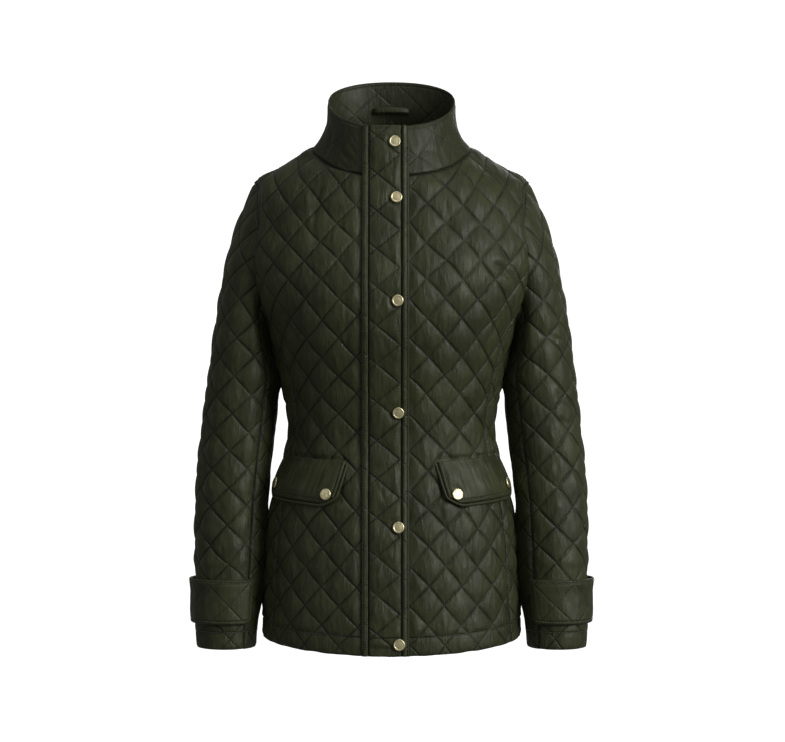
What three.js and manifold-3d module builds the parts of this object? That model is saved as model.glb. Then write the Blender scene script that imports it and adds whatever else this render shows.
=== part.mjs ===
// A quilted jacket with a stand collar, filled out as if worn, in millimetres.
// +Z is up, the front faces -Y, and the origin lies between the two points
// where the neckline meets the shoulders. "Left" and "right" are the wearer's:
// the wearer's left is +X.
import * as THREE from 'three';
import Module from 'manifold-3d';

const wasm = await Module();
wasm.setup();
const { Manifold, Mesh: SolidMesh } = wasm;

// Driving sizes. The cloth is CLOTH thick along the quilting lines and stands
// PUFF higher in the middle of each diamond, over a plain inside. Diamonds are
// two columns wide, about 42 mm, and two rows high.
const CLOTH = 2.0;
const PUFF = 4.0;
const DIAMOND_HEIGHT = 49;
const SEAM_GAP = 0.3;
const SEAM_STEPS = 14;
const CUT_TOLERANCE = 0.02;
// How far the cutting walls reach under and over the cloth
const CUT = { under: -8, over: 14 };
const LEAST_PANEL = 12000;
const HEM_SIDE_Z = -631;
const HEM_DROP = 16;
const WAIST_Z = -368;
const BODY_ROWS = 27;
const QUARTER_COLUMNS = 11;
const BODY_COLUMNS = 4 * QUARTER_COLUMNS;
const SHOULDER_Y = 8;
const NECK = { slope: 0.47, sideZ: -2.6 };
const ARMHOLE = { gap: 0.6, cutFrom: 120, cutTo: 300 };
const RIM = { halfWidth: 80, front: 79, back: 57, centreY: -5, frontZ: 13, slope: 0.53, bend: 2.2 };
const COLLAR_COLUMNS = 24;
const COLLAR_ROWS = 3;
const COLLAR_PUFF = 1.2;
const COLLAR_SEAT = 0.4;
const COLLAR_FLARE = 2.8;
const SLEEVE_COLUMNS = 14;
const SLEEVE_ROWS = 26;
const FRONT_SEAM_COLUMN = 5;
const BACK_SEAM_COLUMN = 10;
const PLACKET = {
  left: -37, right: 22, foldWidth: 8, bindingWidth: 9, thickness: 2.6, puff: 3.2, seat: 0.9,
  foldThickness: 3.4, bindingThickness: 3.0, room: 0.4,
};
const SNAP = { radius: 7.4, height: 3.2, rimWidth: 1.4, sides: 16, seat: 0.3, pressed: 30 };
const FLAP = {
  thickness: 2.4, lift: PUFF + CLOTH + 0.4, puff: 1.2, bindingRadius: 1.7, bindingGap: 0.7,
  cornerRise: 9, cornerStart: 0.36, topSink: 3.4,
};
const TAB = { topZ: -558, bottomZ: -614, thickness: 2.4, lift: PUFF + CLOTH + 0.7 };
const LOOP = { width: 46, height: 8, bow: 9, thickness: 1.8, rise: 0.4 };

// Body sections at the inner face of the cloth: one row for each height.
// faceBend rounds the middle of the front and back, sideBend the two sides.
const BODY_SECTIONS = [
  { z: -631, halfWidth: 163.5, front: -126, back: 118, faceBend: 2.2, sideBend: 2.3 },
  { z: -570, halfWidth: 159.5, front: -122, back: 117, faceBend: 2.2, sideBend: 2.3 },
  { z: -507, halfWidth: 156.5, front: -117, back: 112, faceBend: 2.2, sideBend: 2.3 },
  { z: -460, halfWidth: 150, front: -111, back: 104, faceBend: 2.2, sideBend: 2.3 },
  { z: -430, halfWidth: 143, front: -107, back: 97, faceBend: 2.2, sideBend: 2.3 },
  { z: -400, halfWidth: 134.5, front: -103, back: 91, faceBend: 2.2, sideBend: 2.3 },
  { z: -368, halfWidth: 129.5, front: -102, back: 86, faceBend: 2.2, sideBend: 2.3 },
  { z: -321, halfWidth: 135.5, front: -108.5, back: 89, faceBend: 2.2, sideBend: 2.3 },
  { z: -290, halfWidth: 142, front: -115, back: 93, faceBend: 2.2, sideBend: 2.3 },
  { z: -241, halfWidth: 155, front: -124, back: 101, faceBend: 2.3, sideBend: 2.4 },
  { z: -190, halfWidth: 178, front: -126, back: 105, faceBend: 2.3, sideBend: 2.5 },
  { z: -150, halfWidth: 189, front: -118, back: 105, faceBend: 2.3, sideBend: 2.4 },
  { z: -110, halfWidth: 191, front: -108, back: 101, faceBend: 2.2, sideBend: 2.0 },
  { z: -76, halfWidth: 189, front: -101, back: 96, faceBend: 2.0, sideBend: 1.6 },
  { z: -52, halfWidth: 179, front: -95, back: 91, faceBend: 1.8, sideBend: 1.25 },
  { z: -26, halfWidth: 134, front: -87, back: 84, faceBend: 1.6, sideBend: 1.1 },
  { z: -12, halfWidth: 113, front: -81, back: 79, faceBend: 1.7, sideBend: 1.15 },
  { z: 0, halfWidth: 90, front: -76, back: 73, faceBend: 1.8, sideBend: 1.4 },
  { z: 12, halfWidth: 87, front: -70, back: 66, faceBend: 2.0, sideBend: 1.9 },
  { z: 32, halfWidth: 84, front: -62, back: 56, faceBend: 2.0, sideBend: 2.0 },
];

// Sleeve sections at the inner face: the outer and inner ends of each oval,
// its centre from front to back, and half its depth.
const SLEEVE_SECTIONS = [
  { outerX: 181.6, outerZ: -52, innerX: 157.6, innerZ: -241, centreY: 8, halfDepth: 62 },
  { outerX: 192, outerZ: -76, innerX: 161.5, innerZ: -247, centreY: 8, halfDepth: 61 },
  { outerX: 201, outerZ: -102, innerX: 162, innerZ: -253, centreY: 8, halfDepth: 60 },
  { outerX: 208, outerZ: -131, innerX: 159.5, innerZ: -260, centreY: 8, halfDepth: 59 },
  { outerX: 214, outerZ: -162, innerX: 156.8, innerZ: -268, centreY: 8, halfDepth: 58 },
  { outerX: 220, outerZ: -200, innerX: 154, innerZ: -278, centreY: 8, halfDepth: 57 },
  { outerX: 226, outerZ: -244, innerX: 150.6, innerZ: -290, centreY: 8, halfDepth: 56 },
  { outerX: 231, outerZ: -285, innerX: 147.6, innerZ: -305, centreY: 8, halfDepth: 54 },
  { outerX: 236, outerZ: -321, innerX: 148, innerZ: -325, centreY: 7, halfDepth: 52 },
  { outerX: 241, outerZ: -368, innerX: 151.5, innerZ: -368, centreY: 4, halfDepth: 50 },
  { outerX: 246, outerZ: -414, innerX: 157, innerZ: -414, centreY: 0, halfDepth: 48 },
  { outerX: 247.5, outerZ: -476, innerX: 163.5, innerZ: -476, centreY: -8, halfDepth: 46 },
  { outerX: 248, outerZ: -538, innerX: 166.6, innerZ: -538, centreY: -15, halfDepth: 44 },
  { outerX: 248, outerZ: -584, innerX: 170.5, innerZ: -584, centreY: -19, halfDepth: 42 },
  { outerX: 248, outerZ: -625, innerX: 174, innerZ: -625, centreY: -23, halfDepth: 41 },
  { outerX: 247, outerZ: -646, innerX: 175, innerZ: -646, centreY: -24, halfDepth: 41 },
];

// Placket snaps: across and up, on the front of the jacket.
const PLACKET_SNAPS = [
  { x: 4, z: -7 },
  { x: 6, z: -78 },
  { x: 7.5, z: -207 },
  { x: 8.5, z: -346 },
  { x: 8.5, z: -488 },
  { x: 9.5, z: -632 },
];

// Pocket flap corners, in body columns from the centre front and in height.
const FLAP_CORNERS = {
  topInner: { column: 3.1, z: -408 },
  topOuter: { column: 9.0, z: -401 },
  bottomInner: { column: 3.6, z: -462 },
  bottomOuter: { column: 9.8, z: -452 },
};
const FLAP_SNAPS = [
  { column: 4.15, z: -449 },
  { column: 8.9, z: -439 },
];

// Princess seams, in body columns at each height, front and back.
const FRONT_SEAM = [
  { z: -700, column: 8.2 },
  { z: -460, column: 7.9 },
  { z: -368, column: 7.8 },
  { z: -270, column: 8.0 },
  { z: -215, column: 9.0 },
  { z: -175, column: 11.4 },
];
const BACK_SEAM = [
  { z: -700, column: 15.4 },
  { z: -460, column: 15.6 },
  { z: -368, column: 15.8 },
  { z: -270, column: 15.4 },
  { z: -200, column: 14.2 },
  { z: -155, column: 11.2 },
];

const OLIVE = 0x3b3f2b;
const OLIVE_LIGHT = 0x43472f;
const OLIVE_DARK = 0x2d3020;
const GOLD = 0xc9bd86;

// Small vector and number helpers
const add = (a, b, scale = 1) => a.map((value, axis) => value + b[axis] * scale);
const subtract = (a, b) => add(a, b, -1);
const cross = (a, b) => [
  a[1] * b[2] - a[2] * b[1],
  a[2] * b[0] - a[0] * b[2],
  a[0] * b[1] - a[1] * b[0],
];
const unit = (a) => a.map((value) => value / Math.hypot(...a));
const mix = (a, b, share) => a + (b - a) * share;
const mixPoints = (a, b, share) => a.map((value, axis) => mix(value, b[axis], share));
const clamp = (value, low, high) => Math.min(Math.max(value, low), high);
const smooth = (value) => {
  const share = clamp(value, 0, 1);
  return share * share * (3 - 2 * share);
};
const evenly = (count) => Array.from({ length: count + 1 }, (_, index) => index / count);

// Smooth value of one column of a table, at a place along its key column.
function lookUp(table, key, place, column) {
  const last = table.length - 1;
  const ends = [table[0][key], table[last][key]];
  const here = clamp(place, Math.min(...ends), Math.max(...ends));
  const rising = table[last][key] > table[0][key];
  let row = 0;
  while (row < last - 1 && (rising ? here > table[row + 1][key] : here < table[row + 1][key])) row += 1;
  const from = table[row];
  const to = table[row + 1];
  const before = table[Math.max(row - 1, 0)];
  const after = table[Math.min(row + 2, last)];
  const span = to[key] - from[key];
  const share = (here - from[key]) / span;
  const slopeFrom = row === 0 ? (to[column] - from[column]) / span
    : (to[column] - before[column]) / (to[key] - before[key]);
  const slopeTo = row === last - 1 ? (to[column] - from[column]) / span
    : (after[column] - from[column]) / (after[key] - from[key]);
  const square = share * share;
  const cube = square * share;
  return (2 * cube - 3 * square + 1) * from[column] + (cube - 2 * square + share) * span * slopeFrom
    + (3 * square - 2 * cube) * to[column] + (cube - square) * span * slopeTo;
}

// A quarter of a rounded outline, measured along its length from the middle
// of the front or back (share 0) to the side (share 1).
const STEPS = 40;
const quarterCache = new Map();
function quarterPoint(halfWidth, depth, faceBend, sideBend, share) {
  const name = [halfWidth, depth, faceBend, sideBend].map((value) => value.toFixed(5)).join();
  if (!quarterCache.has(name)) {
    const points = evenly(STEPS).map((step) => {
      const angle = (step * Math.PI) / 2;
      return [halfWidth * Math.sin(angle) ** (2 / faceBend), depth * Math.cos(angle) ** (2 / sideBend)];
    });
    const lengths = [0];
    for (let index = 1; index <= STEPS; index += 1) {
      const [before, here] = [points[index - 1], points[index]];
      lengths.push(lengths[index - 1] + Math.hypot(here[0] - before[0], here[1] - before[1]));
    }
    quarterCache.set(name, { points, lengths });
  }
  const { points, lengths } = quarterCache.get(name);
  const wanted = clamp(share, 0, 1) * lengths[STEPS];
  let index = 1;
  while (index < STEPS && lengths[index] < wanted) index += 1;
  const part = (wanted - lengths[index - 1]) / (lengths[index] - lengths[index - 1]);
  return mixPoints(points[index - 1], points[index], part);
}

// A level outline round the body: columns count from the centre front (0)
// past the side to the centre back, and are negative on the wearer's right.
function outlinePoint(section, column, perQuarter) {
  const whole = 4 * perQuarter;
  const turned = ((((column + whole / 2) % whole) + whole) % whole) - whole / 2;
  const side = turned < 0 ? -1 : 1;
  const distance = Math.abs(turned) / perQuarter;
  const inFront = distance <= 1;
  const depth = inFront ? section.centreY - section.front : section.back - section.centreY;
  const share = inFront ? distance : 2 - distance;
  const [x, y] = quarterPoint(section.halfWidth, depth, section.faceBend, section.sideBend, share);
  return [side * x, section.centreY + (inFront ? -y : y)];
}

function bodySection(z) {
  const read = (column) => lookUp(BODY_SECTIONS, 'z', z, column);
  return {
    halfWidth: read('halfWidth'),
    front: read('front'),
    back: read('back'),
    faceBend: read('faceBend'),
    sideBend: read('sideBend'),
    centreY: SHOULDER_Y * smooth((z - HEM_SIDE_Z) / (WAIST_Z - HEM_SIDE_Z)),
  };
}

// The inner face of the body cloth
function bodyPoint(column, z) {
  const [x, y] = outlinePoint(bodySection(z), column, QUARTER_COLUMNS);
  return [x, y, z];
}

function bodyNormal(column, z) {
  const along = subtract(bodyPoint(column + 0.3, z), bodyPoint(column - 0.3, z));
  const up = subtract(bodyPoint(column, z + 3), bodyPoint(column, z - 3));
  return unit(cross(along, up));
}

// The body face at a given place across, on the front or the back half
function bodyDepthAt(x, z, inFront) {
  const section = bodySection(z);
  const depth = inFront ? section.centreY - section.front : section.back - section.centreY;
  const reach = clamp(1 - Math.abs(x / section.halfWidth) ** section.faceBend, 0, 1);
  return section.centreY + (inFront ? -1 : 1) * depth * reach ** (1 / section.sideBend);
}

// The body face at a given depth, at the wearer's left side
function bodyWidthAt(y, z) {
  const section = bodySection(z);
  const inFront = y < section.centreY;
  const depth = inFront ? section.centreY - section.front : section.back - section.centreY;
  const reach = clamp(1 - Math.abs((y - section.centreY) / depth) ** section.sideBend, 0, 1);
  return section.halfWidth * reach ** (1 / section.faceBend);
}

const neckPlaneZ = (y) => NECK.sideZ + NECK.slope * (y - SHOULDER_Y);

// The rows of the body follow the hem, which hangs lower at front and back.
function rowHeight(row, column) {
  const level = HEM_SIDE_Z + (row * DIAMOND_HEIGHT) / 2;
  const toward = Math.abs(Math.cos((column / BODY_COLUMNS) * 2 * Math.PI));
  const drop = HEM_DROP * toward ** 1.2 * clamp((WAIST_Z - level) / (WAIST_Z - HEM_SIDE_Z), 0, 1);
  return level - drop;
}

// The quilting lines cross at the even points, and the odd ones are puffed.
const isPuff = (row, column) => Math.abs(row + column) % 2 === 1;

// Closed wall between two grids of points, inner and outer, [row][column].
// Cells are halved along the quilting lines, which join the even points.
function wallBetween(inner, outer, { wrap = false, firstColumn = 0 } = {}) {
  const rows = inner.length;
  const columns = inner[0].length;
  const positions = [...inner.flat(), ...outer.flat()].flat();
  const at = (layer, row, column) => layer * rows * columns + row * columns + (column % columns);
  const faces = [];
  const addFour = (a, b, c, d, useFirst) => {
    if (useFirst) faces.push(a, b, c, a, c, d);
    else faces.push(a, b, d, b, c, d);
  };
  const cells = wrap ? columns : columns - 1;
  for (let row = 0; row < rows - 1; row += 1) {
    for (let column = 0; column < cells; column += 1) {
      const even = !isPuff(row, column + firstColumn);
      const corners = [[row, column], [row, column + 1], [row + 1, column + 1], [row + 1, column]];
      const outside = corners.map(([r, c]) => at(1, r, c));
      const inside = corners.map(([r, c]) => at(0, r, c));
      addFour(...outside, even);
      addFour(inside[0], inside[3], inside[2], inside[1], even);
    }
  }
  for (let column = 0; column < cells; column += 1) {
    addFour(at(0, 0, column), at(0, 0, column + 1), at(1, 0, column + 1), at(1, 0, column), true);
    const top = rows - 1;
    addFour(at(1, top, column), at(1, top, column + 1), at(0, top, column + 1), at(0, top, column), true);
  }
  if (!wrap) {
    const end = columns - 1;
    for (let row = 0; row < rows - 1; row += 1) {
      addFour(at(0, row + 1, 0), at(0, row, 0), at(1, row, 0), at(1, row + 1, 0), true);
      addFour(at(0, row, end), at(0, row + 1, end), at(1, row + 1, end), at(1, row, end), false);
    }
  }
  return { positions, faces };
}

function toSolid({ positions, faces }) {
  return new Manifold(new SolidMesh({
    numProp: 3,
    vertProperties: new Float32Array(positions),
    triVerts: new Uint32Array(faces),
  }));
}

// The largest body of a cut solid, without the crumbs that cutting leaves
function largestBody(solid) {
  const bodies = solid.simplify(CUT_TOLERANCE).decompose();
  return bodies.reduce((best, body) => (body.volume() > best.volume() ? body : best));
}

function toWall(solid) {
  const mesh = largestBody(solid).getMesh();
  const positions = [];
  for (let index = 0; index < mesh.vertProperties.length; index += mesh.numProp) {
    positions.push(...mesh.vertProperties.slice(index, index + 3));
  }
  return { positions, faces: Array.from(mesh.triVerts) };
}

const mirrorWall = ({ positions, faces }) => ({
  positions: positions.map((value, index) => (index % 3 === 0 ? -value : value)),
  faces: faces.map((_, index) => faces[index % 3 === 0 ? index : index + (index % 3 === 1 ? 1 : -1)]),
});

const jacket = new THREE.Group();
jacket.name = 'quilted_jacket';

function addPiece(name, wall, colour, roughness = 0.55, metalness = 0) {
  const geometry = new THREE.BufferGeometry();
  geometry.setAttribute('position', new THREE.Float32BufferAttribute(wall.positions, 3));
  geometry.setIndex(wall.faces);
  geometry.computeVertexNormals();
  const material = new THREE.MeshStandardMaterial({ color: colour, roughness, metalness });
  const mesh = new THREE.Mesh(geometry, material);
  mesh.name = name;
  jacket.add(mesh);
}

// Quilting

function bodyPuff(row, column) {
  const z = rowHeight(row, column);
  const point = bodyPoint(column, z);
  const underPlacket = Math.abs(column) <= 1;
  if (!isPuff(row, column) || underPlacket || row === 0) return 0;
  const nearNeck = smooth((neckPlaneZ(point[1]) - z - 4) / 14);
  const besideArm = z < -250 && Math.abs(Math.abs(column) - QUARTER_COLUMNS) < 1.5 ? 0.6 : 1;
  return PUFF * nearNeck * besideArm;
}

function makeBodyTube() {
  const inner = [];
  const outer = [];
  for (let row = 0; row <= BODY_ROWS; row += 1) {
    inner.push([]);
    outer.push([]);
    for (let index = 0; index < BODY_COLUMNS; index += 1) {
      const column = index - BODY_COLUMNS / 2;
      const z = rowHeight(row, column);
      const point = bodyPoint(column, z);
      inner[row].push(point);
      outer[row].push(add(point, bodyNormal(column, z), CLOTH + bodyPuff(row, column)));
    }
  }
  return toSolid(wallBetween(inner, outer, { wrap: true }));
}

// Sleeves

const SLEEVE_LENGTHS = SLEEVE_SECTIONS.reduce((lengths, section, index) => {
  if (index === 0) return [0];
  const last = SLEEVE_SECTIONS[index - 1];
  const step = Math.hypot(section.outerX - last.outerX, section.outerZ - last.outerZ);
  return [...lengths, lengths[index - 1] + step];
}, []);
const SLEEVE_TABLE = SLEEVE_SECTIONS.map((section, index) => ({ ...section, length: SLEEVE_LENGTHS[index] }));
const SLEEVE_LENGTH = SLEEVE_LENGTHS[SLEEVE_LENGTHS.length - 1];

// A point on the sleeve's plain ovals: columns count from the outer line over
// the front, and share runs from the armhole to the cuff.
function ovalPoint(share, column, lift) {
  const read = (name) => lookUp(SLEEVE_TABLE, 'length', share * SLEEVE_LENGTH, name);
  const outerEnd = [read('outerX'), read('centreY'), read('outerZ')];
  const innerEnd = [read('innerX'), read('centreY'), read('innerZ')];
  const centre = mixPoints(outerEnd, innerEnd, 0.5);
  const reach = Math.hypot(...subtract(outerEnd, innerEnd)) / 2;
  const outward = unit(subtract(outerEnd, innerEnd));
  const turned = ((column % SLEEVE_COLUMNS) + SLEEVE_COLUMNS) % SLEEVE_COLUMNS;
  const quarter = SLEEVE_COLUMNS / 4;
  const folded = Math.abs(turned - 2 * quarter);
  const onInnerHalf = folded < quarter;
  const part = onInnerHalf ? 1 - folded / quarter : (folded - quarter) / quarter;
  const [alongReach, acrossDepth] = quarterPoint(reach, read('halfDepth'), 2, 2, part);
  const frontSign = turned < 2 * quarter ? -1 : 1;
  const outSign = onInnerHalf ? -1 : 1;
  const normal = unit([outSign * alongReach / reach ** 2, frontSign * acrossDepth / read('halfDepth') ** 2]);
  const outDistance = outSign * alongReach + lift * normal[0];
  const frontDistance = frontSign * acrossDepth + lift * normal[1];
  return add(add(centre, outward, outDistance), [0, 1, 0], frontDistance);
}

// The sleeve head follows the armhole's edge, and lets go of it further down.
function sleevePoint(share, column, lift) {
  const fade = 1 - smooth(share / 0.2);
  const point = ovalPoint(share, column, lift);
  if (fade === 0) return point;
  const start = ovalPoint(0, column, 0);
  const seat = bodyWidthAt(start[1], start[2]) + CLOTH + ARMHOLE.gap;
  return add(point, [(seat - start[0]) * fade, 0, 0]);
}

function sleevePuff(row, column) {
  if (!isPuff(row, column) || row === 0 || row === SLEEVE_ROWS) return 0;
  const nearBody = column >= 6 && column <= 8 ? 0.35 : 1;
  const nearArmhole = row < 3 && column > 3 && column < 11 ? 0.5 : 1;
  return PUFF * nearBody * nearArmhole;
}

function makeSleevePanel(fromColumn, toColumn) {
  const inner = [];
  const outer = [];
  for (let row = 0; row <= SLEEVE_ROWS; row += 1) {
    inner.push([]);
    outer.push([]);
    for (let column = fromColumn; column <= toColumn; column += 1) {
      const inset = column === fromColumn ? 0.012 : column === toColumn ? -0.012 : 0;
      const turned = column % SLEEVE_COLUMNS;
      inner[row].push(sleevePoint(row / SLEEVE_ROWS, column + inset, 0));
      const lift = CLOTH + sleevePuff(row, turned);
      outer[row].push(sleevePoint(row / SLEEVE_ROWS, column + inset, lift));
    }
  }
  return wallBetween(inner, outer, { firstColumn: fromColumn });
}

// What the sleeve head needs clear of the body cloth
function makeSleeveClearance() {
  const shares = [0, 1, 2, 3].map((row) => row / SLEEVE_ROWS);
  const grid = (lift) => shares.map((share) => Array.from({ length: SLEEVE_COLUMNS }, (_, column) => {
    const point = sleevePoint(share, column, lift);
    return share === 0 ? add(point, [-0.6, 0, 0]) : point;
  }));
  return toSolid(wallBetween(grid(CUT.under), grid(CLOTH + PUFF + 0.4), { wrap: true }));
}

function makeArmholeCutter() {
  const outline = Array.from({ length: SLEEVE_COLUMNS }, (_, column) => sleevePoint(0, column, 0));
  const near = outline.map((point) => [ARMHOLE.cutFrom, point[1], point[2]]);
  const far = outline.map((point) => [ARMHOLE.cutTo, point[1], point[2]]);
  const positions = [...near, ...far].flat();
  const faces = [];
  const count = outline.length;
  for (let index = 0; index < count; index += 1) {
    const next = (index + 1) % count;
    faces.push(index, count + index, count + next, index, count + next, next);
    if (index > 0 && index < count - 1) {
      faces.push(0, index, index + 1);
      faces.push(count, count + index + 1, count + index);
    }
  }
  const solid = toSolid({ positions, faces });
  return solid.volume() > 0 ? solid : toSolid({ positions, faces: faces.slice().reverse() });
}

// A thin curtain that parts the body cloth along a seam
function makeSeamCutter(seam) {
  const places = evenly(SEAM_STEPS).map((share) => mix(seam[0].z, seam[seam.length - 1].z, share));
  const grid = (depth) => places.map((z) => {
    const column = lookUp(seam, 'z', z, 'column');
    const point = add(bodyPoint(column, z), bodyNormal(column, z), depth);
    const along = unit(subtract(bodyPoint(column + 0.2, z), bodyPoint(column - 0.2, z)));
    return [add(point, along, -SEAM_GAP / 2), add(point, along, SEAM_GAP / 2)];
  });
  return toSolid(wallBetween(grid(CUT.under), grid(CUT.over)));
}

// Collar

const NECK_CURVE = (() => {
  const points = evenly(BODY_COLUMNS * 2).map((share) => {
    const column = share * 2 * QUARTER_COLUMNS;
    let low = -62;
    let high = 31;
    for (let step = 0; step < 40; step += 1) {
      const middle = (low + high) / 2;
      if (middle < neckPlaneZ(bodyPoint(column, middle)[1])) low = middle;
      else high = middle;
    }
    return bodyPoint(column, (low + high) / 2);
  });
  const side = points.findIndex((point) => point[1] >= SHOULDER_Y);
  return { front: points.slice(0, side + 1), back: points.slice(side) };
})();

function pointAlong(points, share) {
  const lengths = [0];
  for (let index = 1; index < points.length; index += 1) {
    lengths.push(lengths[index - 1] + Math.hypot(...subtract(points[index], points[index - 1])));
  }
  const wanted = clamp(share, 0, 1) * lengths[lengths.length - 1];
  let index = 1;
  while (index < points.length - 1 && lengths[index] < wanted) index += 1;
  const part = (wanted - lengths[index - 1]) / (lengths[index] - lengths[index - 1]);
  return mixPoints(points[index - 1], points[index], part);
}

// turn runs from 0 at the centre front to 2 at the centre back
function neckPoint(turn) {
  return turn <= 1 ? pointAlong(NECK_CURVE.front, turn) : pointAlong(NECK_CURVE.back, turn - 1);
}

function rimPoint(turn) {
  const section = {
    halfWidth: RIM.halfWidth,
    front: RIM.centreY - RIM.front,
    back: RIM.centreY + RIM.back,
    centreY: RIM.centreY,
    faceBend: RIM.bend,
    sideBend: RIM.bend,
  };
  const [x, y] = outlinePoint(section, turn, 1);
  return [x, y, RIM.frontZ + RIM.slope * (y - section.front)];
}

// The inner face of the collar; rise runs from the neckline to the rim
function collarPoint(turn, rise) {
  const distance = Math.abs(turn);
  const side = turn < 0 ? -1 : 1;
  const low = neckPoint(distance);
  const high = rimPoint(Math.min(distance, 1.9999));
  const drawnIn = mix(rise, 1 - (1 - rise) ** COLLAR_FLARE, smooth((distance - 0.25) / 0.4));
  const [x, y] = mixPoints(low, high, drawnIn);
  const z = mix(low[2], high[2], rise) + (1 - rise) * COLLAR_SEAT;
  return [side * x, y, z];
}

function collarNormal(turn, rise) {
  const centred = clamp(turn, -1.97, 1.97);
  const along = subtract(collarPoint(centred + 0.03, rise), collarPoint(centred - 0.03, rise));
  const above = collarPoint(centred, Math.min(rise + 0.1, 1));
  const up = subtract(above, collarPoint(centred, Math.max(rise - 0.1, 0)));
  return unit(cross(along, up));
}

function makeCollar() {
  const inner = [];
  const outer = [];
  for (let row = 0; row <= COLLAR_ROWS; row += 1) {
    inner.push([]);
    outer.push([]);
    for (let index = 0; index <= COLLAR_COLUMNS; index += 1) {
      const edge = index === 0 ? 0.002 : index === COLLAR_COLUMNS ? -0.002 : 0;
      const around = (index / COLLAR_COLUMNS) * 4 + edge;
      const turn = around <= 2 ? around : around - 4;
      const rise = row / COLLAR_ROWS;
      const inMiddle = row > 0 && row < COLLAR_ROWS && index > 2 && index < COLLAR_COLUMNS - 2;
      const puff = inMiddle && isPuff(row, index) ? COLLAR_PUFF : 0;
      const point = collarPoint(turn, rise);
      const seat = ([x, y, z]) => [x, y, row === 0 ? neckPlaneZ(y) + COLLAR_SEAT : z];
      inner[row].push(seat(point));
      outer[row].push(seat(add(point, collarNormal(turn, rise), CLOTH + puff)));
    }
  }
  return wallBetween(inner, outer);
}

// Placket

// The outer face of the front at a place across and up, body then collar
function frontFace(x, z) {
  const turnAtNeck = findTurn(neckPoint, x);
  const turnAtRim = findTurn(rimPoint, x);
  const low = collarPoint(turnAtNeck, 0);
  const high = collarPoint(turnAtRim, 1);
  if (z <= low[2]) return bodyDepthAt(x, z, true) - CLOTH;
  return mix(low[1], high[1], (z - low[2]) / (high[2] - low[2])) - CLOTH;
}

function findTurn(curve, x) {
  let low = 0;
  let high = 0.9;
  for (let step = 0; step < 30; step += 1) {
    const middle = (low + high) / 2;
    if (curve(middle)[0] < Math.abs(x)) low = middle;
    else high = middle;
  }
  return low * (x < 0 ? -1 : 1);
}

const PLACKET_BOTTOM_Z = HEM_SIDE_Z - HEM_DROP + 0.5;
const PLACKET_TOP_Z = RIM.frontZ + 1;
const PLACKET_ROWS = 27;

function placketPoint(x, rise, lift) {
  const z = mix(PLACKET_BOTTOM_Z, PLACKET_TOP_Z, rise);
  return [x, frontFace(x, z) - PLACKET.seat - lift, z];
}

function placketPuff(row, column, rise) {
  const z = mix(PLACKET_BOTTOM_Z, PLACKET_TOP_Z, rise);
  const pressed = PLACKET_SNAPS.some((snap) => Math.abs(snap.z - z) < SNAP.pressed);
  const atEnd = row === 0 || row === PLACKET_ROWS;
  return isPuff(row, column) && !pressed && !atEnd ? PLACKET.puff : 0;
}

function makePlacketStrip(fromX, toX, columns, liftFrom, thickness, puffs) {
  const inner = [];
  const outer = [];
  evenly(PLACKET_ROWS).forEach((rise, row) => {
    const across = evenly(columns).map((share) => mix(fromX, toX, share));
    inner.push(across.map((x) => placketPoint(x, rise, liftFrom)));
    outer.push(across.map((x, column) => {
      const inside = column > 0 && column < columns;
      const puff = puffs && inside ? placketPuff(row, column, rise) : 0;
      return placketPoint(x, rise, liftFrom + thickness + puff);
    }));
  });
  return wallBetween(inner, outer);
}

// Pocket flaps, on the wearer's left, mirrored for the right

// The top edge is sewn down into the cloth, and the rest lies on the puffs.
const flapSink = (down) => FLAP.topSink * (1 - down) ** 2;

function flapPoint(across, down, lift) {
  const { topInner, topOuter, bottomInner, bottomOuter } = FLAP_CORNERS;
  const nearEnd = smooth((Math.abs(across - 0.5) - FLAP.cornerStart) / (0.5 - FLAP.cornerStart));
  const cornerRise = FLAP.cornerRise * nearEnd * down ** 3;
  const read = (name) => mix(
    mix(topInner[name], topOuter[name], across),
    mix(bottomInner[name], bottomOuter[name], across),
    down,
  );
  const column = read('column');
  const z = read('z') + cornerRise;
  return add(bodyPoint(column, z), bodyNormal(column, z), lift - flapSink(down));
}

function makeFlap() {
  const columns = 6;
  const rows = 4;
  const grid = (lift, puff) => evenly(rows).map((down, row) => evenly(columns).map((across, column) => {
    const inside = row > 0 && row < rows && column > 0 && column < columns;
    return flapPoint(across, 1 - down, lift + (inside && isPuff(row, column) ? puff : 0));
  }));
  return wallBetween(grid(FLAP.lift, 0), grid(FLAP.lift + FLAP.thickness, FLAP.puff));
}

// What a flap and its binding need clear of the body cloth
function makeFlapClearance() {
  const grow = (share) => mix(-0.03, 1.03, share);
  const grid = (lift) => evenly(4).map((down) => evenly(6).map((across) => (
    flapPoint(grow(across), grow(1 - down), lift))));
  return toSolid(wallBetween(grid(FLAP.lift - 0.4), grid(FLAP.lift + CUT.over)));
}

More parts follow.
